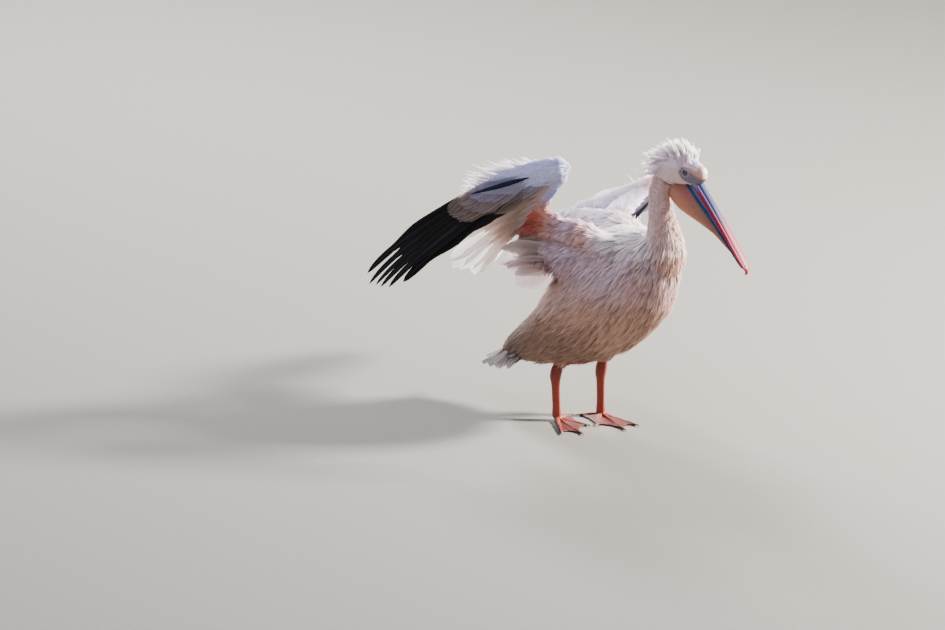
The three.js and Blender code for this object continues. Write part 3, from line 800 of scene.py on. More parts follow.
def wing_colour(colour):
    """The arms: lilac above, a painted tint of sky light, with painted shade under the upper arm and
    brick-red skin in the crook of the right elbow where the cover is thin, its red deepened as a painted
    glow of light through it.
    The far (left) arm is painted lighter, as painted light, with a painted peach glow through its outer
    forearm.
    """
    for name, pose in WINGS.items():
        fore, upper = share(f"wing_{name}_forearm"), share(f"wing_{name}_upper_arm")
        colour = tinted(
            colour,
            # Pink-lilac on the shoulders and upper arms: pink flush, with a lilac of painted sky light.
            ("#E4C6D2", 0.5 * near(spots, (pose["side"] * 110, 60, 620), (70, 90, 60))),
            ("#E4C6D2", 0.8 * upper),
            # Painted shade: the underside of the upper arm, darker and browner.
            ("#A8776A", 0.85 * upper * rise(-normal[:, 2], -0.1, 0.7)),
            # Bare skin in the crook of the right elbow, its red deepened as a painted glow of light through
            # the thin cover.
            *([("#DCA49A", 0.9 * (fore + upper) * near(spots, (-165, -130, 690), (110, 130, 100))),
               ("#C4503E", 0.75 * near(spots, (-165, -150, 660), (76, 82, 64)) * (fore + upper))]
              if name == "r" else
              # The far arm: painted light, lighter all over, with a painted peach glow of light through the
              # outer forearm.
              [("#F4ECFF", 0.9 * (fore + upper)), ("#F6BFA8", 0.8 * fore * rise(spots[:, 0], 190, 340))]),
        )
    return tinted(colour, *(("#F4B48C", 0.5 * near(spots, (side * 118, 30, 648), (60, 66, 46)))
                            for side in (1, -1)))


def face_colour():
    """The bare face: grey-mauve below the line from eye to bill and peach above it, with painted shade of
    fine creases, a dusky edge, a pale ring of lid and a black rim to the eye."""
    ridge = (spots[:, 1] - 341) * 0.447 + (spots[:, 2] - 905) * 0.894  # up off that line
    lid = np.min([np.linalg.norm((places - centre)[:, 1:], axis=1) for centre in EYES.values()], axis=0)
    # Fine creases, drawn only as their painted shade: dark lines on the bare skin.
    crease_shade = np.sin(spots[:, 1] * 0.9 + 2 * np.sin(spots[:, 2] * 0.5))
    crease_shade *= np.sin(spots[:, 2] * 1.1 + 0.4 * spots[:, 1])
    return tinted(
        "#786C80",
        ("#CF8E76", rise(ridge, 9, 20)),
        ("#F3DDD4", near(spots, (0, 394, 924), (44, 34, 28))),
        ("#4A3F50", 0.8 * bell(BARE, 0.4, 0.3) * (1 - rise(spots[:, 1], 335, 360))),
        ("#5B4458", 0.45 * rise(crease_shade, 0.1, 0.9)),
        ("#A9A3B6", 0.5 * bell(lid, 0.0118, 0.0024)),
        ("#2A222C", 0.9 * (1 - rise(lid, 0.0082, 0.0098))),
    )


COLOUR = wing_colour(plumage_colour())
BARE = bare_patch(spots) * HEAD
UNDER_COAT = [0.62, 0.54, 0.5]  # how much darker and warmer the skin is than the feathers over it
SKIN_COLOUR = mix(COLOUR * UNDER_COAT, face_colour(), BARE[:, None])

# ---- Legs and feet ---------------------------------------------------------------------------------

ANKLE, HEEL, KNEE = (74, 35, 20), (78, -18, 150), (70, 4, 265)
FOOT_HEADING = {"l": 24, "r": 22}
TOE_LENGTHS = (70, 106, 146, 136)
TOE_ANGLES = (-105, -38, 0, 27)
KNUCKLES = (2, 3, 4, 4)
CLAW_LENGTH = 14
WEB_THICKNESS = 0.0022


def web_between(joint, outwards):
    """The web of a foot: one sheet from toe to toe, which dips between their tips and arches up."""
    web = bmesh.new()
    bmesh.ops.create_grid(web, x_segments=48, y_segments=24, size=0.5)
    grid = arrays(web)
    span = (grid[:, 0] + 0.5) * 3
    i = np.minimum(span.astype(int), 2)
    t = span - i
    reach = grid[:, 1] + 0.5
    tips = np.array([joint + outwards[k] * TOE_LENGTHS[k] * 0.95 for k in range(4)])
    edge = mix(tips[i], tips[i + 1], t[:, None])
    dip = 1 - 0.13 * 4 * t * (1 - t)
    flat = joint + (edge - joint) * (reach * dip)[:, None]
    arch = 4 * t * (1 - t)
    up = 3.4 + 2.2 * (1 - reach) + 1.6 * arch * reach * (1 - reach) * 4 + 0.5 * np.sin(span * 21) * reach
    put(web, [at(p[0], p[1], z) for p, z in zip(flat, up)])
    bmesh.ops.remove_doubles(web, verts=web.verts, dist=5e-4)
    bmesh.ops.recalc_face_normals(web, faces=web.faces)
    bmesh.ops.solidify(web, geom=web.faces[:], thickness=WEB_THICKNESS)
    bmesh.ops.recalc_face_normals(web, faces=web.faces)
    return web


def leg_shell(name):
    """A leg and its foot as one shell: shank, heel joint, tarsus, four jointed toes and their web."""
    side = 1 if name == "l" else -1
    ankle = np.array([side * ANKLE[0], side * ANKLE[1], ANKLE[2]])
    heel = np.array([side * HEEL[0], side * ANKLE[1] + HEEL[1], HEEL[2]])
    knee = np.array([side * KNEE[0], side * ANKLE[1] + KNEE[1], KNEE[2]])

    def shin(t):
        return at(*mix(knee, heel, t))

    def tarsus(t):
        return at(*mix(heel, ankle, t))

    turns = [radians(FOOT_HEADING[name]) - side * radians(a) for a in TOE_ANGLES]
    outwards = [np.array([-sin(t), cos(t), 0]) for t in turns]
    joint = np.array([ankle[0], ankle[1], 12.0])

    def on_toe(i, out, up):
        spot = joint + outwards[i] * TOE_LENGTHS[i] * out
        return at(spot[0], spot[1], up)

    def knuckled(count):
        return lambda t, angle: 1 + 0.1 * np.cos(2 * pi * count * t)

    parts = [
        loft([[shin(0), 15, 17], [shin(0.6), 12.5, 15], [shin(0.9), 15, 19.5], [tarsus(0.06), 14.5, 19],
              [tarsus(0.2), 11.5, 16]], sides=32, rings=40, cap=0.1),
        loft([[tarsus(-0.06), 12, 16], [tarsus(0.12), 12, 16.5], [tarsus(0.35), 9.3, 15],
              [tarsus(0.75), 9.3, 14.5], [tarsus(0.95), 12, 16], [tarsus(1.1), 12.5, 16.5]],
             sides=32, rings=48, cap=0.08),
        *(loft([[on_toe(i, -0.04, 9), 9, 9], [on_toe(i, 0.3, 6.6), 6.6, 6.6],
                [on_toe(i, 0.7, 5.2), 5.6, 5.6], [on_toe(i, 1.0, 4.2), 4.6, 4.8]],
               side=(0, 0, 1), sides=20, rings=44, cap=0.07,
               shape=knuckled(KNUCKLES[i])) for i in range(4)),
        web_between(joint, outwards),
    ]
    shell = remeshed(join(bmesh.new(), parts), LEG_VOXEL)
    rounds = Net(shell)
    smooth = rounds.smooth(rounds.places, 3)
    smooth[:, 2] = np.maximum(smooth[:, 2], 0.0)
    move(shell, smooth)
    spots = local(smooth)
    high = spots[:, 2]
    # Painted shade: the legs' red is darkened, more up the shank under the body, and most on the feet and
    # webs by the floor.
    colour = tinted("#963727", ("#701E0E", rise(high, 90, 190)), ("#5A1F19", 1 - rise(high, 7, 15)))
    streak = 0.5 + 0.5 * np.sin(spots[:, 0] * 0.21 + 2.1 * np.sin(spots[:, 1] * 0.09))
    return shell, colour * (0.94 + 0.1 * streak[:, None]), on_toe


def claws(name, on_toe):
    for i in range(4):
        reach = CLAW_LENGTH / TOE_LENGTHS[i]
        bm = loft([[on_toe(i, 0.96, 5.2), 3.3, 3.6], [on_toe(i, 1 + reach * 0.45, 6), 2.7, 2.9],
                   [on_toe(i, 1 + reach * 0.8, 4.4), 1.6, 1.7], [on_toe(i, 1 + reach, 2.2), 0.7, 0.7]],
                  side=(0, 0, 1), sides=16, rings=20, cap=0.3)
        mesh = mesh_from(bm, f"claw_{name}_{i + 1}_horn")
        low = -local(read(mesh.vertices, "co", 3))[:, 2]
        paint(mesh, tinted("#8A6A5C", ("#3A2E2B", rise(low, -6, -2))))
        adopt(mesh.name, mesh, CLAW_HORN, "claw", [f"claw_{name}_{i + 1}"])


def pouch_shell():
    """The gular pouch: thin skin hung from the lower bill, gathered in fine lengthways folds."""
    def folds(t, angle):
        low = rise(-np.sin(angle), -0.2, 0.8)
        fine, broad = 0.012 * low * np.sin(9 * angle + 5 * t), 0.02 * low * np.sin(3 * angle + 14 * t)
        return 1 + fine + broad * (1 - t)

    bm = loft([[on_bill(-60, 88), 14.5, 29], [on_bill(-30, 94), 18, 41], [on_bill(5, 88), 19, 44],
               [on_bill(40, 77), 18.5, 38.5], [on_bill(92, 59.5), 16, 27], [on_bill(160, 37), 11.5, 16],
               [on_bill(250, 25), 6, 4]],
              side=BILL_SIDE, sides=60, rings=80, cap=0.1, shape=folds)
    mesh = mesh_from(bm, "pouch")
    where = read(mesh.vertices, "co", 3) - BILL_ROOT
    out, down = where @ BILL_AXIS * 1000, -(where @ BILL_TOP) * 1000
    return mesh, tinted(
        "#8A5C58",
        ("#7E544A", 0.8 * rise(out, 20, 110)),
        ("#A84A46", 0.7 * bell(out, 10, 30) * bell(down, 62, 16)),
        ("#D98F66", 0.5 * rise(down - (86 - out * 0.24), -30, 18)),
        ("#8C5240", 0.6 * (1 - rise(out, -60, -20))),
    )


def one_skin():
    """Joins body, legs, feet and pouch as one skin, coloured by place."""
    legs = {name: leg_shell(name) for name in "lr"}
    shells = [(skin_mesh, SKIN_COLOUR), *(legs[n][:2] for n in "lr"), pouch_shell()]
    bm = bmesh.new()
    for finish, (shell, _) in zip((0, 1, 1, 2), shells):
        before = len(bm.faces)
        bm.from_mesh(shell)
        bm.faces.ensure_lookup_table()
        for face in bm.faces[before:]:
            face.material_index = finish
    mesh = mesh_from(bm, "skin")
    for layer in list(mesh.uv_layers):
        mesh.uv_layers.remove(layer)
    paint(mesh, np.vstack([colour for _, colour in shells]))
    feet = [f"{part}_{s}" for s in "lr" for part in ("shank", "tarsus", "foot")]
    made = adopt("skin", mesh, BIRD_SKIN, "body_plumage", FLESH + feet + ["bill_pouch"])
    mesh.materials.append(LEG_SKIN)
    mesh.materials.append(POUCH_SKIN)
    for name in "lr":
        claws(name, legs[name][2])
    return made


def unwrap(made):
    """Lays the skin out flat, as the map that each small feather takes its place from."""
    made.data.uv_layers.new(name="OFBake")
    bpy.context.view_layer.objects.active = made
    made.select_set(True)
    bpy.ops.object.mode_set(mode="EDIT")
    bpy.ops.mesh.select_all(action="SELECT")
    bpy.ops.uv.smart_project(angle_limit=1.15, island_margin=0.002)
    bpy.ops.object.mode_set(mode="OBJECT")
    made.select_set(False)


skin = one_skin()
unwrap(skin)

# ---- The coat --------------------------------------------------------------------------------------

ROOT_DEPTH = 0.0012  # how far each small feather starts under the skin
FEATHERS_PER_LOCK = 5
PATCH = 0.003  # each small feather's breadth and length on the skin's map


def skin_triangles():
    """The body's triangles: corner vertices, corner UVs and areas. Legs and pouch are left out."""
    mesh = skin.data
    mesh.calc_loop_triangles()
    corners = read(mesh.loop_triangles, "vertices", 3, int)
    loops = read(mesh.loop_triangles, "loops", 3, int)
    uv = read(mesh.uv_layers["OFBake"].data, "uv", 2, np.float32)
    keep = (corners < net.count).all(1)
    corners, uv = corners[keep], uv[loops[keep]]
    a, b, c = (places[corners[:, k]] for k in range(3))
    return corners, uv, np.linalg.norm(np.cross(b - a, c - a), axis=1) / 2


CORNERS, CORNER_UV, AREA = skin_triangles()


def scatter(per_square_mm):
    """Roots spread evenly over the skin, as (triangle, shares of its corners)."""
    wanted = np.cumsum(per_square_mm[CORNERS].mean(1) * AREA * 1e6 / SPARE)
    counts = np.diff(np.floor(np.r_[0, wanted] + RANDOM.random()).astype(int))
    which = np.repeat(np.arange(len(AREA)), counts)
    s = RANDOM.random((len(which), 2))
    s = np.where(s.sum(1, keepdims=True) > 1, 1 - s, s)
    return which, np.c_[1 - s.sum(1), s]


def blade(columns, rows):
    """A flat strip, one unit long and two wide, that each feather is bent from: its places across and along,
    and its faces."""
    bm = bmesh.new()
    bmesh.ops.create_grid(bm, x_segments=columns, y_segments=rows, size=1)
    flat = arrays(bm)
    faces = np.array([[v.index for v in f.verts] for f in bm.faces])
    bm.free()
    return flat[:, 0], (flat[:, 1] + 1) / 2, faces


def joined_blades(name, places, faces, colours, uv_name, uv):
    """Many bent strips as one mesh. faces holds four vertex numbers a face, and uv a place for each."""
    mesh = bpy.data.meshes.new(name)
    mesh.vertices.add(len(places))
    mesh.vertices.foreach_set("co", places.ravel())
    mesh.loops.add(faces.size)
    mesh.loops.foreach_set("vertex_index", faces.ravel().astype(np.int32))
    mesh.polygons.add(len(faces))
    mesh.polygons.foreach_set("loop_start", np.arange(0, faces.size, 4, dtype=np.int32))
    mesh.update(calc_edges=True)
    paint(mesh, colours)
    mesh.uv_layers.new(name=uv_name).data.foreach_set("uv", uv.astype(np.float32).ravel())
    return mesh


def lock_of(root):
    """Gathers feathers to locks: gives the feather in the middle of each one's lock and how far off that is,
    from 0 to 1."""
    n = len(root)
    middles = RANDOM.choice(n, max(1, n // FEATHERS_PER_LOCK), replace=False)
    tree = KDTree(len(middles))
    for i, place in enumerate(root[middles]):
        tree.insert(place, i)
    tree.balance()
    found = [tree.find(place)[1:] for place in root]
    away = np.array([f[1] for f in found])
    return middles[[f[0] for f in found]], np.clip(away / (2.2 * np.median(away) + 1e-9), 0, 1)


def coat(name, density, finish, slot, splay, gather, depth, dark, rows=3, point=0.75, ruffle=0.25):
    """One piece of the coat. density is a field over the skin's vertices, in feathers for each square
    millimetre. splay turns feathers at random and ruffle varies how far they stand off. They lean to their
    lock's middle by gather, and its rim is painted darker by depth, as shade between the locks. dark is the
    painted shade at the roots; the tips are painted lighter, as light through them. point narrows the tips."""
    which, s = scatter(density)
    corners = CORNERS[which]
    n = len(which)

    def field(values):
        return (values[corners] * s.reshape(s.shape + (1,) * (values.ndim - 1))).sum(1)

    root, up, run = field(places), unit(field(normal)), field(flow)
    clump = np.sin(root @ np.array([210.0, 130, 90])) + np.sin(root @ np.array([-160.0, 240, 140]) + 1.7)
    turn = RANDOM.normal(0, splay, n) + 0.06 * clump
    run = unit(run - up * (run * up).sum(1)[:, None])
    aside = np.cross(up, run)
    run, aside = (
        run * np.cos(turn)[:, None] + aside * np.sin(turn)[:, None],
        aside * np.cos(turn)[:, None] - run * np.sin(turn)[:, None],
    )
    size = 1 + RANDOM.normal(0, 0.16, n).clip(-0.4, 0.5)
    long, wide = field(LENGTH) * size / 1000, field(WIDTH) * size / 2000 * SPARE**0.5
    stand = field(STAND) / 1000 * (1 + RANDOM.normal(0, ruffle, n) + 0.15 * clump)
    own, away = lock_of(root)
    lean = (root[own] + run[own] * long[own][:, None] - root - run * long[:, None]) * gather
    lean -= up * (lean * up).sum(1)[:, None]
    stand = mix(stand, stand[own] * (1.1 - 0.25 * away), 0.6)
    x, y, faces = blade(2, rows)
    profile = np.maximum(np.sin(pi * np.clip(0.12 + 0.88 * y, 0, 1) ** point) ** 0.8, 0.02)
    reach = long[:, None] * y
    height = -ROOT_DEPTH + (stand[:, None] + ROOT_DEPTH) * np.sin(y * pi / 2) ** 0.9
    height -= field(BEND)[:, None] * reach**2 * 0.45
    height -= (np.abs(x) ** 2 * profile)[None] * wide[:, None] * 0.45
    spread = wide[:, None] * x * profile
    blades = (
        root[:, None]
        + run[:, None] * reach[..., None]
        + aside[:, None] * spread[..., None]
        + up[:, None] * height[..., None]
        + lean[:, None] * (y**1.6)[None, :, None]
    ).reshape(-1, 3)
    blades[:, 2] = np.maximum(blades[:, 2], 0.001)
    tone = 1 + RANDOM.normal(0, 0.09, n) + RANDOM.normal(0, 0.05, n)[own] + 0.02 * clump
    # Painted shade: feathers at the rim of each lock are darker, as the shade in the gaps between locks.
    tone = tone * (1.06 - depth * away**2)
    # Painted shade at the roots (dark) and painted light in the tips, which reach 1.25 times the coat's
    # colour.
    colour = field(COLOUR)[:, None] * (tone[:, None] * mix(dark, 1.25, y**0.9)[None])[..., None]
    index = (faces[None] + (np.arange(n) * len(x))[:, None, None]).reshape(-1, 4)
    patch = (CORNER_UV[which] * s[..., None]).sum(1)
    within = np.stack([x * PATCH / 2, (y - 0.5) * PATCH], 1)
    uv = (patch[:, None] + within[None]).reshape(-1, 2)[index.ravel()]
    adopt(name, joined_blades(name, blades, index, colour.reshape(-1, 3), "OFBake", uv), finish, slot)


lower_arm = ARMS - UPPER_ARM
left_side = rise(spots[:, 0], -6, 6)
front = rise(spots[:, 1], -5, 35)
slender = rise(spots[:, 2], 650, 800)  # how far up the neck, from long feathers to velvet
body = TRUNK + THIGH + UPPER_ARM
# The body's feathers are shorter by the tail and on the sides of the shoulders.
long = 56 * mix(0.5, 1, rise(spots[:, 1], -270, -170))
long *= 1 - 0.45 * rise(spots[:, 2], 500, 620) * (1 - rise(normal[:, 2], 0.35, 0.75))
# Each small feather's length and width, and how far its tip stands off the skin, in millimetres.
LENGTH = long * TRUNK + 18 * THIGH + 30 * UPPER_ARM + mix(50, 9, slender) * NAPE + 6 * HEAD + 24 * lower_arm
WIDTH = 3.0 * body + 3.7 * lower_arm + mix(3.0, 1.5, slender) * NAPE + 1.5 * HEAD
STAND = 8 * TRUNK + 3 * THIGH + 4 * UPPER_ARM + mix(8, 2, slender) * NAPE
STAND = STAND + 1.5 * HEAD + 4 * lower_arm + 5 * MANE
for name, where in (
    ("fore_r", (1 - left_side) * front), ("fore_l", left_side * front),
    ("aft_r", (1 - left_side) * (1 - front)), ("aft_l", left_side * (1 - front)),
):
    coat(f"coat_body_{name}", 0.051 * where * body * (body > 0.5), DOWN, "body_plumage",
         splay=0.09, gather=0.4, depth=0.45, dark=0.34, rows=4)
coat("coat_neck", mix(0.05, 0.5, slender**1.5) * NAPE * (NAPE > 0.5), DOWN, "body_plumage",
     splay=0.09, gather=0.35, depth=0.3, dark=0.5)
coat("coat_head", 0.66 * HEAD * (HEAD > 0.5) * (1 - BARE) ** 2, DOWN, "body_plumage",
     splay=0.15, gather=0.35, depth=0.05, dark=0.9, rows=2, ruffle=0.15)
for name, where in (("wing_r", 1 - left_side), ("wing_l", left_side)):
    coat(f"coat_{name}", 0.165 * where * lower_arm * (lower_arm > 0.5), COVERT, "wing_plumage",
         splay=0.08, gather=0.3, depth=0.2, dark=0.75, point=0.7)

# ---- Long feathers ---------------------------------------------------------------------------------

CUP = 0.12  # how far a vane's edges curl down, as a share of its half width
QUILL_RADIUS = 0.0004
INK, SOOT = linear("#0A0A0D"), linear("#232024")


def feathers(name, quills, finish, slot, replaces, columns=6, rows=18):
    """Long feathers as one piece. Each quill is a dict: line (places along the shaft), side (the way across,
    at each place), up (the way off the sheet), half (half width at each place, in metres), colours at root
    and tip, and maybe edge and shaft_colour with their shares rim and shaft, fade (how late the tip's colour
    comes), tilt (how far one edge is raised) and split (how ragged the edges are)."""
    x, y, strip = blade(columns, rows)
    places, colours, uvs, faces = [], [], [], []
    for q in quills:
        line, side, half = (q[k](y) for k in ("line", "side", "half"))
        torn = 1 - q.get("split", 0.04) * (RANDOM.random(len(x)) ** 2) * (np.abs(x) > 0.99)
        bent = line + side * (x * half * torn)[:, None]
        bent += q["up"] * (x * q.get("tilt", 0.0) - CUP * np.abs(x) ** 1.5 * half)[:, None]
        root, tip = linear(q["root"]), linear(q["tip"])
        tint = mix(root, tip, (y ** q.get("fade", 1.0))[:, None])
        tint = mix(tint, linear(q.get("edge", tip)), (np.abs(x) ** 3 * q.get("rim", 0.0))[:, None])
        shaft = bell(x, 0, 0.14)[:, None] * q.get("shaft", 0.0)
        tint = mix(tint, linear(q.get("shaft_colour", root)), shaft)
        run = np.linalg.norm(q["line"](np.array([1.0])) - q["line"](np.array([0.0])))
        faces.append(strip + len(x) * len(places))
        places.append(bent)
        colours.append(tint * (1 + RANDOM.normal(0, 0.03)))
        uvs.append(np.stack([x * half * 1000, y * run * 1000], 1)[strip.ravel()])
    mesh = joined_blades(name, *map(np.concatenate, (places, faces, colours)), "Barbs", np.concatenate(uvs))
    adopt(name, mesh, finish, slot, replaces)


def leaf(point, base=0.35):
    """A vane's half width along it: narrow at the quill, full by base, and rounded or pointed at the tip."""
    blunt = 0.62 if point > 2 else 0.95

    def width(y):
        ending = np.maximum(1 - np.clip((y - 0.45) / 0.55, 0, 1) ** point, 0)
        return np.maximum(rise(y, -0.12, base), 0.0) * ending**blunt
    return width


def finger(y):
    """A leading primary's half width: full to the middle, then drawn in to a long rounded finger."""
    ending = np.maximum(1 - np.clip((y - 0.8) / 0.2, 0, 1) ** 2, 0)
    return rise(y, -0.12, 0.25) * (1 - 0.64 * rise(y, 0.54, 0.78)) * ending**0.6


def quill(root, tip, sides, gaps, face, end, bow, sweep, lift, width, profile):
    """One long feather from root towards tip, end being the share of that way it goes. sides and gaps are
    the way to its neighbour and how far that is, at root and tip."""
    def line(y):
        arch = 4 * end * y * (1 - end * y)
        late = (end * y) ** 1.6
        aside = mix(*sides, 0.5) * (-sweep / 1000 * 4 * late * (1 - late))[:, None]
        return mix(root, tip, end * y[:, None]) + aside + face * (bow / 1000 * arch + lift / 1000)[:, None]

    def across(y):
        raw, along = mix(*sides, y[:, None]), unit(tip - root)
        return unit(raw - along * (raw @ along)[:, None])

    def half(y):
        return mix(*gaps, end * y) * width * profile(y) + QUILL_RADIUS

    return {"line": line, "side": across, "up": face, "half": half}


def fan(roots, tips, count, width, bow=0, sweep=0, lift=0.0, reach=(1, 1, 1), profile=leaf(3), jitter=0.0,
        plane=None, broadest=1.0, **looks):
    """Quills side by side from a line of roots to a line of tips, each over the next like slats. reach is
    how far towards its tip the first, the middle and the last quill go. plane is the direction square to the
    wing, where the vanes lie flat with it. broadest caps the gap between tips that a vane fills."""
    root_line, tip_line = curve(roots), curve(tips)
    step = 0.5 / count
    out = []
    for s in (np.arange(count) + 0.5) / count:
        shares = np.array([s, s - step, s + step])
        (r, r0, r1), (t, t0, t1) = root_line(shares), tip_line(shares)
        gaps = np.linalg.norm(r1 - r0), min(np.linalg.norm(t1 - t0), broadest)
        sides = [unit(r1 - r0), unit(t1 - t0)]
        if plane is not None:
            sides = [unit(side - plane * (side @ plane)) for side in sides]
        face = unit(np.cross(unit(sides[0] + sides[1]), t - r))
        t = t + RANDOM.normal(0, jitter, 3) * np.linalg.norm(t - r)
        end = np.interp(s, [0, 0.5, 1], reach) * (1 + RANDOM.normal(0, jitter * 0.6))
        out.append({**quill(r, t, sides, gaps, face, end, bow, sweep, lift, width, profile), **looks})
    return out


# Rows of small covering feathers: how many, how far they reach, how many millimetres they lie off the vanes
# below, and their colours at root and tip, and at the edge where it differs.
PRIMARY_COVERTS_UNDER = [
    (20, (0.34, 0.42, 0.62), 9, "#5A4A44", "#8E7A70", "#B9A9A8"),
    (22, (0.25, 0.33, 0.5), 11, "#72605C", "#A08C86", "#C7BBC4"),
    (22, (0.17, 0.24, 0.38), 13, "#8F88A6", "#A9A3C4", "#D5D0E6"),
    (22, (0.1, 0.15, 0.26), 15, "#A9A6CC", "#B9B6DC", "#E2DFF2"),
]
PRIMARY_COVERTS_OVER = [(13, (0.33, 0.3, 0.3), -9, INK * 1.4), (15, (0.2, 0.2, 0.2), -12, SOOT * 1.4)]
SECONDARY_COVERTS = {
    # Painted shade: the near (right) wing's under coverts are browner at the roots than the far wing's.
    "under_r": [(22, 0.6, 9, "#B08C7C", "#FFF2EA"), (26, 0.42, 11, "#B08C82", "#DCC6BE"),
                (30, 0.26, 13, "#F2DCDC", "#DCC6CA")],
    "under_l": [(22, 0.56, 9, "#E3C2B8", "#F4E4DE"), (26, 0.4, 11, "#E6CAD0", "#F0DEDC"),
                (30, 0.25, 13, "#D9CBE6", "#E9DCE8")],
    "over": [(18, 0.52, 9, "#D9CBDD", "#F4EEF0"), (22, 0.36, 11, "#DDD2E6", "#F2ECF2"),
             (26, 0.22, 13, "#D6CEE8", "#EDE8F2")],
}
TAIL_COVERTS = [(22, 0.72, 0.012), (24, 0.5, 0.022), (22, 0.62, -0.010)]


def wing_feathers(name, pose):
    s = pose["side"]
    manus, wrist, elbow, palm, chord = (pose[k] for k in ("manus", "wrist", "elbow", "palm", "chord"))
    beside = mix(pose["primary_tips"][-1], pose["secondary_tips"][0], 0.3)
    hand = [mix(manus, wrist, t) for t in (-0.02, 0.5, 0.92)], pose["primary_tips"]
    outer = [mix(manus, wrist, t) for t in (-0.03, 0.5, 1.02)], [*pose["primary_tips"], beside]
    inner = [mix(manus, wrist, t) for t in (0.08, 0.4, 0.7)], pose["primary_tips"][1:-1]
    arm = [mix(wrist, elbow, t) for t in (0.14, 0.5, 0.98)], pose["secondary_tips"]
    curl = {"bow": -s * 10, "sweep": 24 if name == "r" else 6, "plane": palm}
    rounded = {"profile": leaf(4, 0.12), "tilt": 0.002 * s, "rim": 0.8, "shaft": 0.25}

    def row(part, quills, node, finish=WHITE_VANE, slot="flight_white", **grid):
        feathers(f"{part}_{name}", quills, finish, slot, [f"wing_{name}_{node}"], **grid)

    black = {"finish": BLACK_VANE, "slot": "flight_black"}
    row("primaries", fan(
        *hand, 10, 0.86, **curl, profile=finger, broadest=0.048, jitter=0.004, root=INK, tip=INK * 1.2,
        edge=SOOT * 1.5, rim=0.5, shaft=0.7, shaft_colour=SOOT * 2.5, tilt=0.003 * s, split=0.02,
    ), "primaries", **black, columns=8, rows=30)
    row("secondaries", fan(
        *arm, 14, 0.85, profile=leaf(6, 0.2), reach=(1 if name == "r" else 0.72, 1, 1), jitter=0.045,
        root="#DDA080", tip="#FFFFFF", fade=0.55, shaft=0.25, shaft_colour="#C9A08A", tilt=0.005 * s,
        split=0.25,
    ), "secondaries", rows=20)
    row("primary_coverts_under", [
        q for count, reach, lift, root, tip, edge in PRIMARY_COVERTS_UNDER
        for q in fan(*outer, count, 1.4, **curl, lift=s * lift, reach=reach, jitter=0.012, split=0.1,
                     root=root, tip=tip, edge=edge, **rounded)
    ], "primary_coverts_under", rows=12)
    row("primary_coverts_over", [
        q for count, reach, lift, tone in PRIMARY_COVERTS_OVER
        for q in fan(*inner, count, 0.75, **curl, lift=s * lift, reach=reach, jitter=0.01, split=0.06,
                     root=tone, tip=tone * 1.3, edge=SOOT * 2.5, **rounded)
    ], "primary_coverts_over", **black, rows=12)
    for face, side, rows in (("under", s, f"under_{name}"), ("over", -s, "over")):
        row(f"secondary_coverts_{face}", [
            q for count, reach, lift, root, tip in SECONDARY_COVERTS[rows]
            for q in fan(*arm, count, 0.8, lift=side * lift, reach=(reach,) * 3, profile=leaf(2.2, 0.15),
                         jitter=0.03, root=root, tip=tip, fade=1.6, tilt=0.002 * s, split=0.3)
        ], f"secondary_coverts_{face}", columns=4, rows=12)
    pit = [mix(pose["shoulder"], elbow, t) - [0, 0, 0.014] for t in (0.2, 0.55, 0.9)]
    hung = [at(s * 130, -50, 500), at(s * 140, -125, 505), at(s * 150, -205, 545)]
    # Painted shade: the scapulars and the feathers hung under the arm are white, coloured taupe and brown,
    # with pale edges painted as lit rims.
    row("scapulars", fan(
        pose["scapular_roots"], pose["scapular_tips"], 7, 1.2, profile=leaf(1.8, 0.3), jitter=0.03,
        root="#A98A78", tip="#CFC3CC", shaft=0.3, shaft_colour="#EDE4E2", tilt=0.004, split=0.06, rim=0.7,
        edge="#F2ECEE",
    ) + fan(
        pit, hung, 26, 0.95, profile=leaf(1.6, 0.2), jitter=0.045, root="#9A7068", tip="#C4A8A0", tilt=0.003,
        split=0.1, rim=0.5, edge="#D8C6C2",
    ), "scapulars", rows=20)
    row("ruffled_coverts", fan(
        *([p - palm * 0.008 for p in pose[k]] for k in ("ruffle_roots", "ruffle_tips")), 96, 1.1,
        reach=(0.55, 1, 1), profile=leaf(1.2, 0.15), jitter=0.13, root="#D9D0E4", tip="#FFFFFF", split=0.1,
    ), "ruffle", columns=2, rows=8)
    base = mix(wrist, manus, 0.5) + palm * 0.034
    end = mix(wrist, manus, 1.27) + palm * 0.034 - [0, 0, 0.02]
    row("alula", fan(
        [base - chord * 0.006, base + chord * 0.006], [end - chord * 0.012, end + chord * 0.006], 3, 1.5,
        profile=leaf(1.3, 0.3), root="#0E1626", tip="#141E32", tilt=0.001,
    ), "alula", **black)


def tail():
    roots = [at(14, -222, 190), at(-50, -228, 196), at(-108, -176, 196)]
    tips = [at(8, -322, 140), at(-58, -334, 124), at(-112, -304, 130), at(-150, -240, 144),
            at(-148, -184, 158)]
    drawn_in = [mix(p, at(-40, -150, 215), 0.28) for p in roots]
    # Painted shade: the tail's white feathers and coverts are coloured grey-brown.
    covers = [
        q for count, reach, lift in TAIL_COVERTS
        for q in fan([p + [0, 0, lift * 1.5] for p in drawn_in], [p + [0, 0, lift] for p in tips], count,
                     1.0, reach=(reach,) * 3, profile=leaf(1.5, 0.2), jitter=0.05, root="#84736B",
                     tip="#9C8A83", split=0.15, rim=0.4, edge="#B8A9A4")
    ]
    quills = fan(roots, tips, 16, 0.9, profile=leaf(1.7, 0.2), jitter=0.03, root="#6E6464", tip="#968D92",
                 shaft=0.35, shaft_colour="#E4DEDF", tilt=0.004, split=0.1, rim=0.6, edge="#E0DBE0")
    feathers("tail_feathers", quills + covers, WHITE_VANE, "tail_feathers", ["tail"])


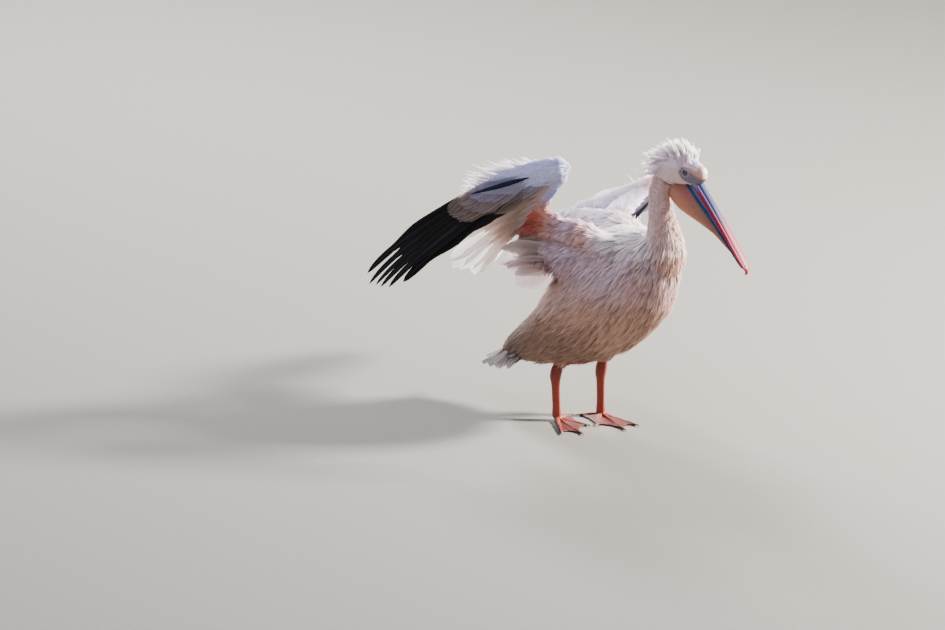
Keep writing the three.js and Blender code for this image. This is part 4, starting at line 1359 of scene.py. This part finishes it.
def crest():
    """Loose plumes that sweep up off the crown and back off the nape, in tufts that part to their tips."""
    roots = curve([at(0, 332, 946), at(0, 318, 950), at(0, 300, 953), at(0, 272, 951), at(0, 250, 942),
                   at(0, 232, 926), at(0, 222, 900)])
    tips = curve([at(0, 338, 974), at(0, 306, 1008), at(0, 256, 1006), at(0, 206, 980), at(0, 160, 938),
                  at(0, 130, 894), at(0, 168, 868)])
    tufts, plumes_each, highest = 150, 8, 1.013
    out = []

    def plume(root, tip, droop):
        bend = RANDOM.normal(0, 0.003)
        face = unit(np.array([1.0, 0, 0]) + RANDOM.normal(0, 0.35, 3))
        side = unit(np.cross(face, unit(tip - root)))
        curl = face * bend - np.array([0, 0, droop])
        return {
            "line": lambda y: mix(root, tip, y[:, None]) + curl * (y * y)[:, None],
            "side": lambda y: side, "up": face, "half": lambda y: 0.0021 * (1 - y) ** 0.5 + 0.0003,
            "root": "#E9D8E2", "tip": "#FFFFFF",
        }

    for _ in range(tufts):
        s, aside = RANDOM.random(), RANDOM.normal(0, 0.013)
        tuft_root = roots(np.array([s]))[0] + [aside, 0, -16 * aside**2]
        tuft_tip = mix(tuft_root, tips(np.array([s]))[0] + [aside * 1.4, 0, 0], RANDOM.uniform(0.6, 1.1))
        tuft_tip += RANDOM.normal(0, 0.004, 3)
        for _ in range(plumes_each):
            r = tuft_root + RANDOM.normal(0, 0.004, 3)
            t = mix(r, tuft_tip + RANDOM.normal(0, 0.0025, 3), RANDOM.uniform(0.75, 1.0))
            t[2] = min(t[2], highest)
            out.append(plume(r, t, 0.010 * s))
    feathers("crest_plumes", out, WHITE_VANE, "crest_plumes", ["crest"], columns=2, rows=7)


for wing_name, pose in WINGS.items():
    wing_feathers(wing_name, pose)
tail()
crest()

# ---- Bill and eyes ---------------------------------------------------------------------------------

# Each is how far out and below the ridge, then the half width and the half height there.
UPPER_BILL = [(-24, 14, 20.5, 16), (20, 13, 20.5, 14), (90, 9, 20.5, 11.5), (180, 6, 21.5, 9),
              (260, 5, 21.5, 7), (306, 6, 16.5, 5.5), (BILL_LENGTH - 6, 9, 9, 4)]
LOWER_BILL = [(-44, 46, 16.5, 8), (0, 39, 19.5, 8), (90, 29.5, 17.5, 6.5), (190, 22, 15.5, 5),
              (280, 19, 10.5, 4), (BILL_LENGTH - 20, 18.5, 6, 3)]
NAIL = [(BILL_LENGTH - 34, 5.5, 6, 4.5), (BILL_LENGTH - 14, 6.5, 8, 5), (BILL_LENGTH - 3, 13, 6.5, 5.5),
        (BILL_LENGTH - 1, 23, 3, 3)]


def sheath(name, stations, colours, finish, slot, node, **shape):
    """A horn piece of the bill. colours takes how far out and below the ridge each place is and how far
    aside, in millimetres, and its height down from the piece's middle in half heights."""
    bm = loft([[on_bill(out, below), w, h] for out, below, w, h in stations], side=BILL_SIDE, **shape)
    mesh = mesh_from(bm, name)
    rel = read(mesh.vertices, "co", 3) - BILL_ROOT
    out, down, aside = rel @ BILL_AXIS * 1000, -(rel @ BILL_TOP) * 1000, np.abs(rel @ BILL_SIDE) * 1000
    along, middle, _, half = zip(*stations)
    drop = (down - np.interp(out, along, middle)) / np.interp(out, along, half)
    paint(mesh, colours(out, down, aside, drop))
    adopt(name, mesh, finish, slot, [node])


def ridged(t, angle):
    """The upper bill's section: a low ridge along its top, with a groove down each side of it."""
    top = np.degrees(angle) - 90
    groove = bell(np.abs(top), 42, 9) * rise(t, 0.02, 0.12) * (1 - rise(t, 0.8, 0.95))
    return 1 - 0.11 * groove + 0.04 * bell(top, 0, 16)


def upper_bill_colour(out, down, aside, drop):
    """Grey-blue sides, a navy ridge, a crimson stripe that widens to the tip, and a pale cutting edge."""
    top = 1 - rise(drop, -0.8, -0.3)
    stripe = np.exp(-(((drop - 0.05) / mix(0.55, 1.1, rise(out, 80, 210))) ** 4))
    return tinted(
        "#6F76A4",
        ("#20284E", top),
        ("#6E3450", top * rise(out, 80, 230)),
        ("#7A7090", 0.4 * bell(aside, 0, 4) * rise(out, 60, 160)),
        ("#35487F", 0.9 * bell(drop, -0.72, 0.12) * (1 - rise(out, 120, 260))),
        ("#96142F", stripe * rise(out, -10, 40)),
        ("#B0546C", 0.5 * rise(out, 130, 300) * (1 - 0.5 * top)),
        ("#C9A9AE", 0.6 * rise(drop, 0.5, 0.66) * (1 - rise(out, 150, 280))),
        ("#D98870", 0.7 * (1 - rise(out, -20, 4))),
    )


def lower_bill_colour(out, down, aside, drop):
    """Navy, with a pale upper edge, and mauve towards the tip."""
    return tinted("#1C3A66", ("#8F95BC", 0.9 * (1 - rise(drop, -0.85, -0.6))),
                  ("#8C6C82", 0.8 * rise(out, 190, 290)))


def nail_colour(out, down, aside, drop):
    return tinted("#B4483A", ("#B02410", rise(down, 4, 16)))


def eyes():
    for side, centre in EYES.items():
        name = "l" if side > 0 else "r"
        bm = bmesh.new()
        bmesh.ops.create_uvsphere(bm, u_segments=48, v_segments=32, radius=EYE_RADIUS)
        bmesh.ops.translate(bm, verts=bm.verts, vec=Vector(centre))
        mesh = mesh_from(bm, f"eyeball_{name}")
        rel = read(mesh.vertices, "co", 3) - centre
        off = np.hypot(rel[:, 1], rel[:, 2]) * 1000
        paint(mesh, tinted("#050405", ("#2C120E", rise(off, 3.4, 4.0))))
        adopt(f"eyeball_{name}", mesh, WET_EYE, "eye", [f"eye_{name}"])


sheath("upper_bill", UPPER_BILL, upper_bill_colour, BILL_HORN, "bill", "bill_upper",
       sides=96, rings=110, cap=0.08, shape=ridged)
sheath("lower_bill", LOWER_BILL, lower_bill_colour, BILL_HORN, "bill", "bill_lower",
       sides=64, rings=90, cap=0.08)
sheath("bill_nail_horn", NAIL, nail_colour, NAIL_HORN, "nail", "bill_nail", sides=32, rings=40, cap=0.2)
eyes()
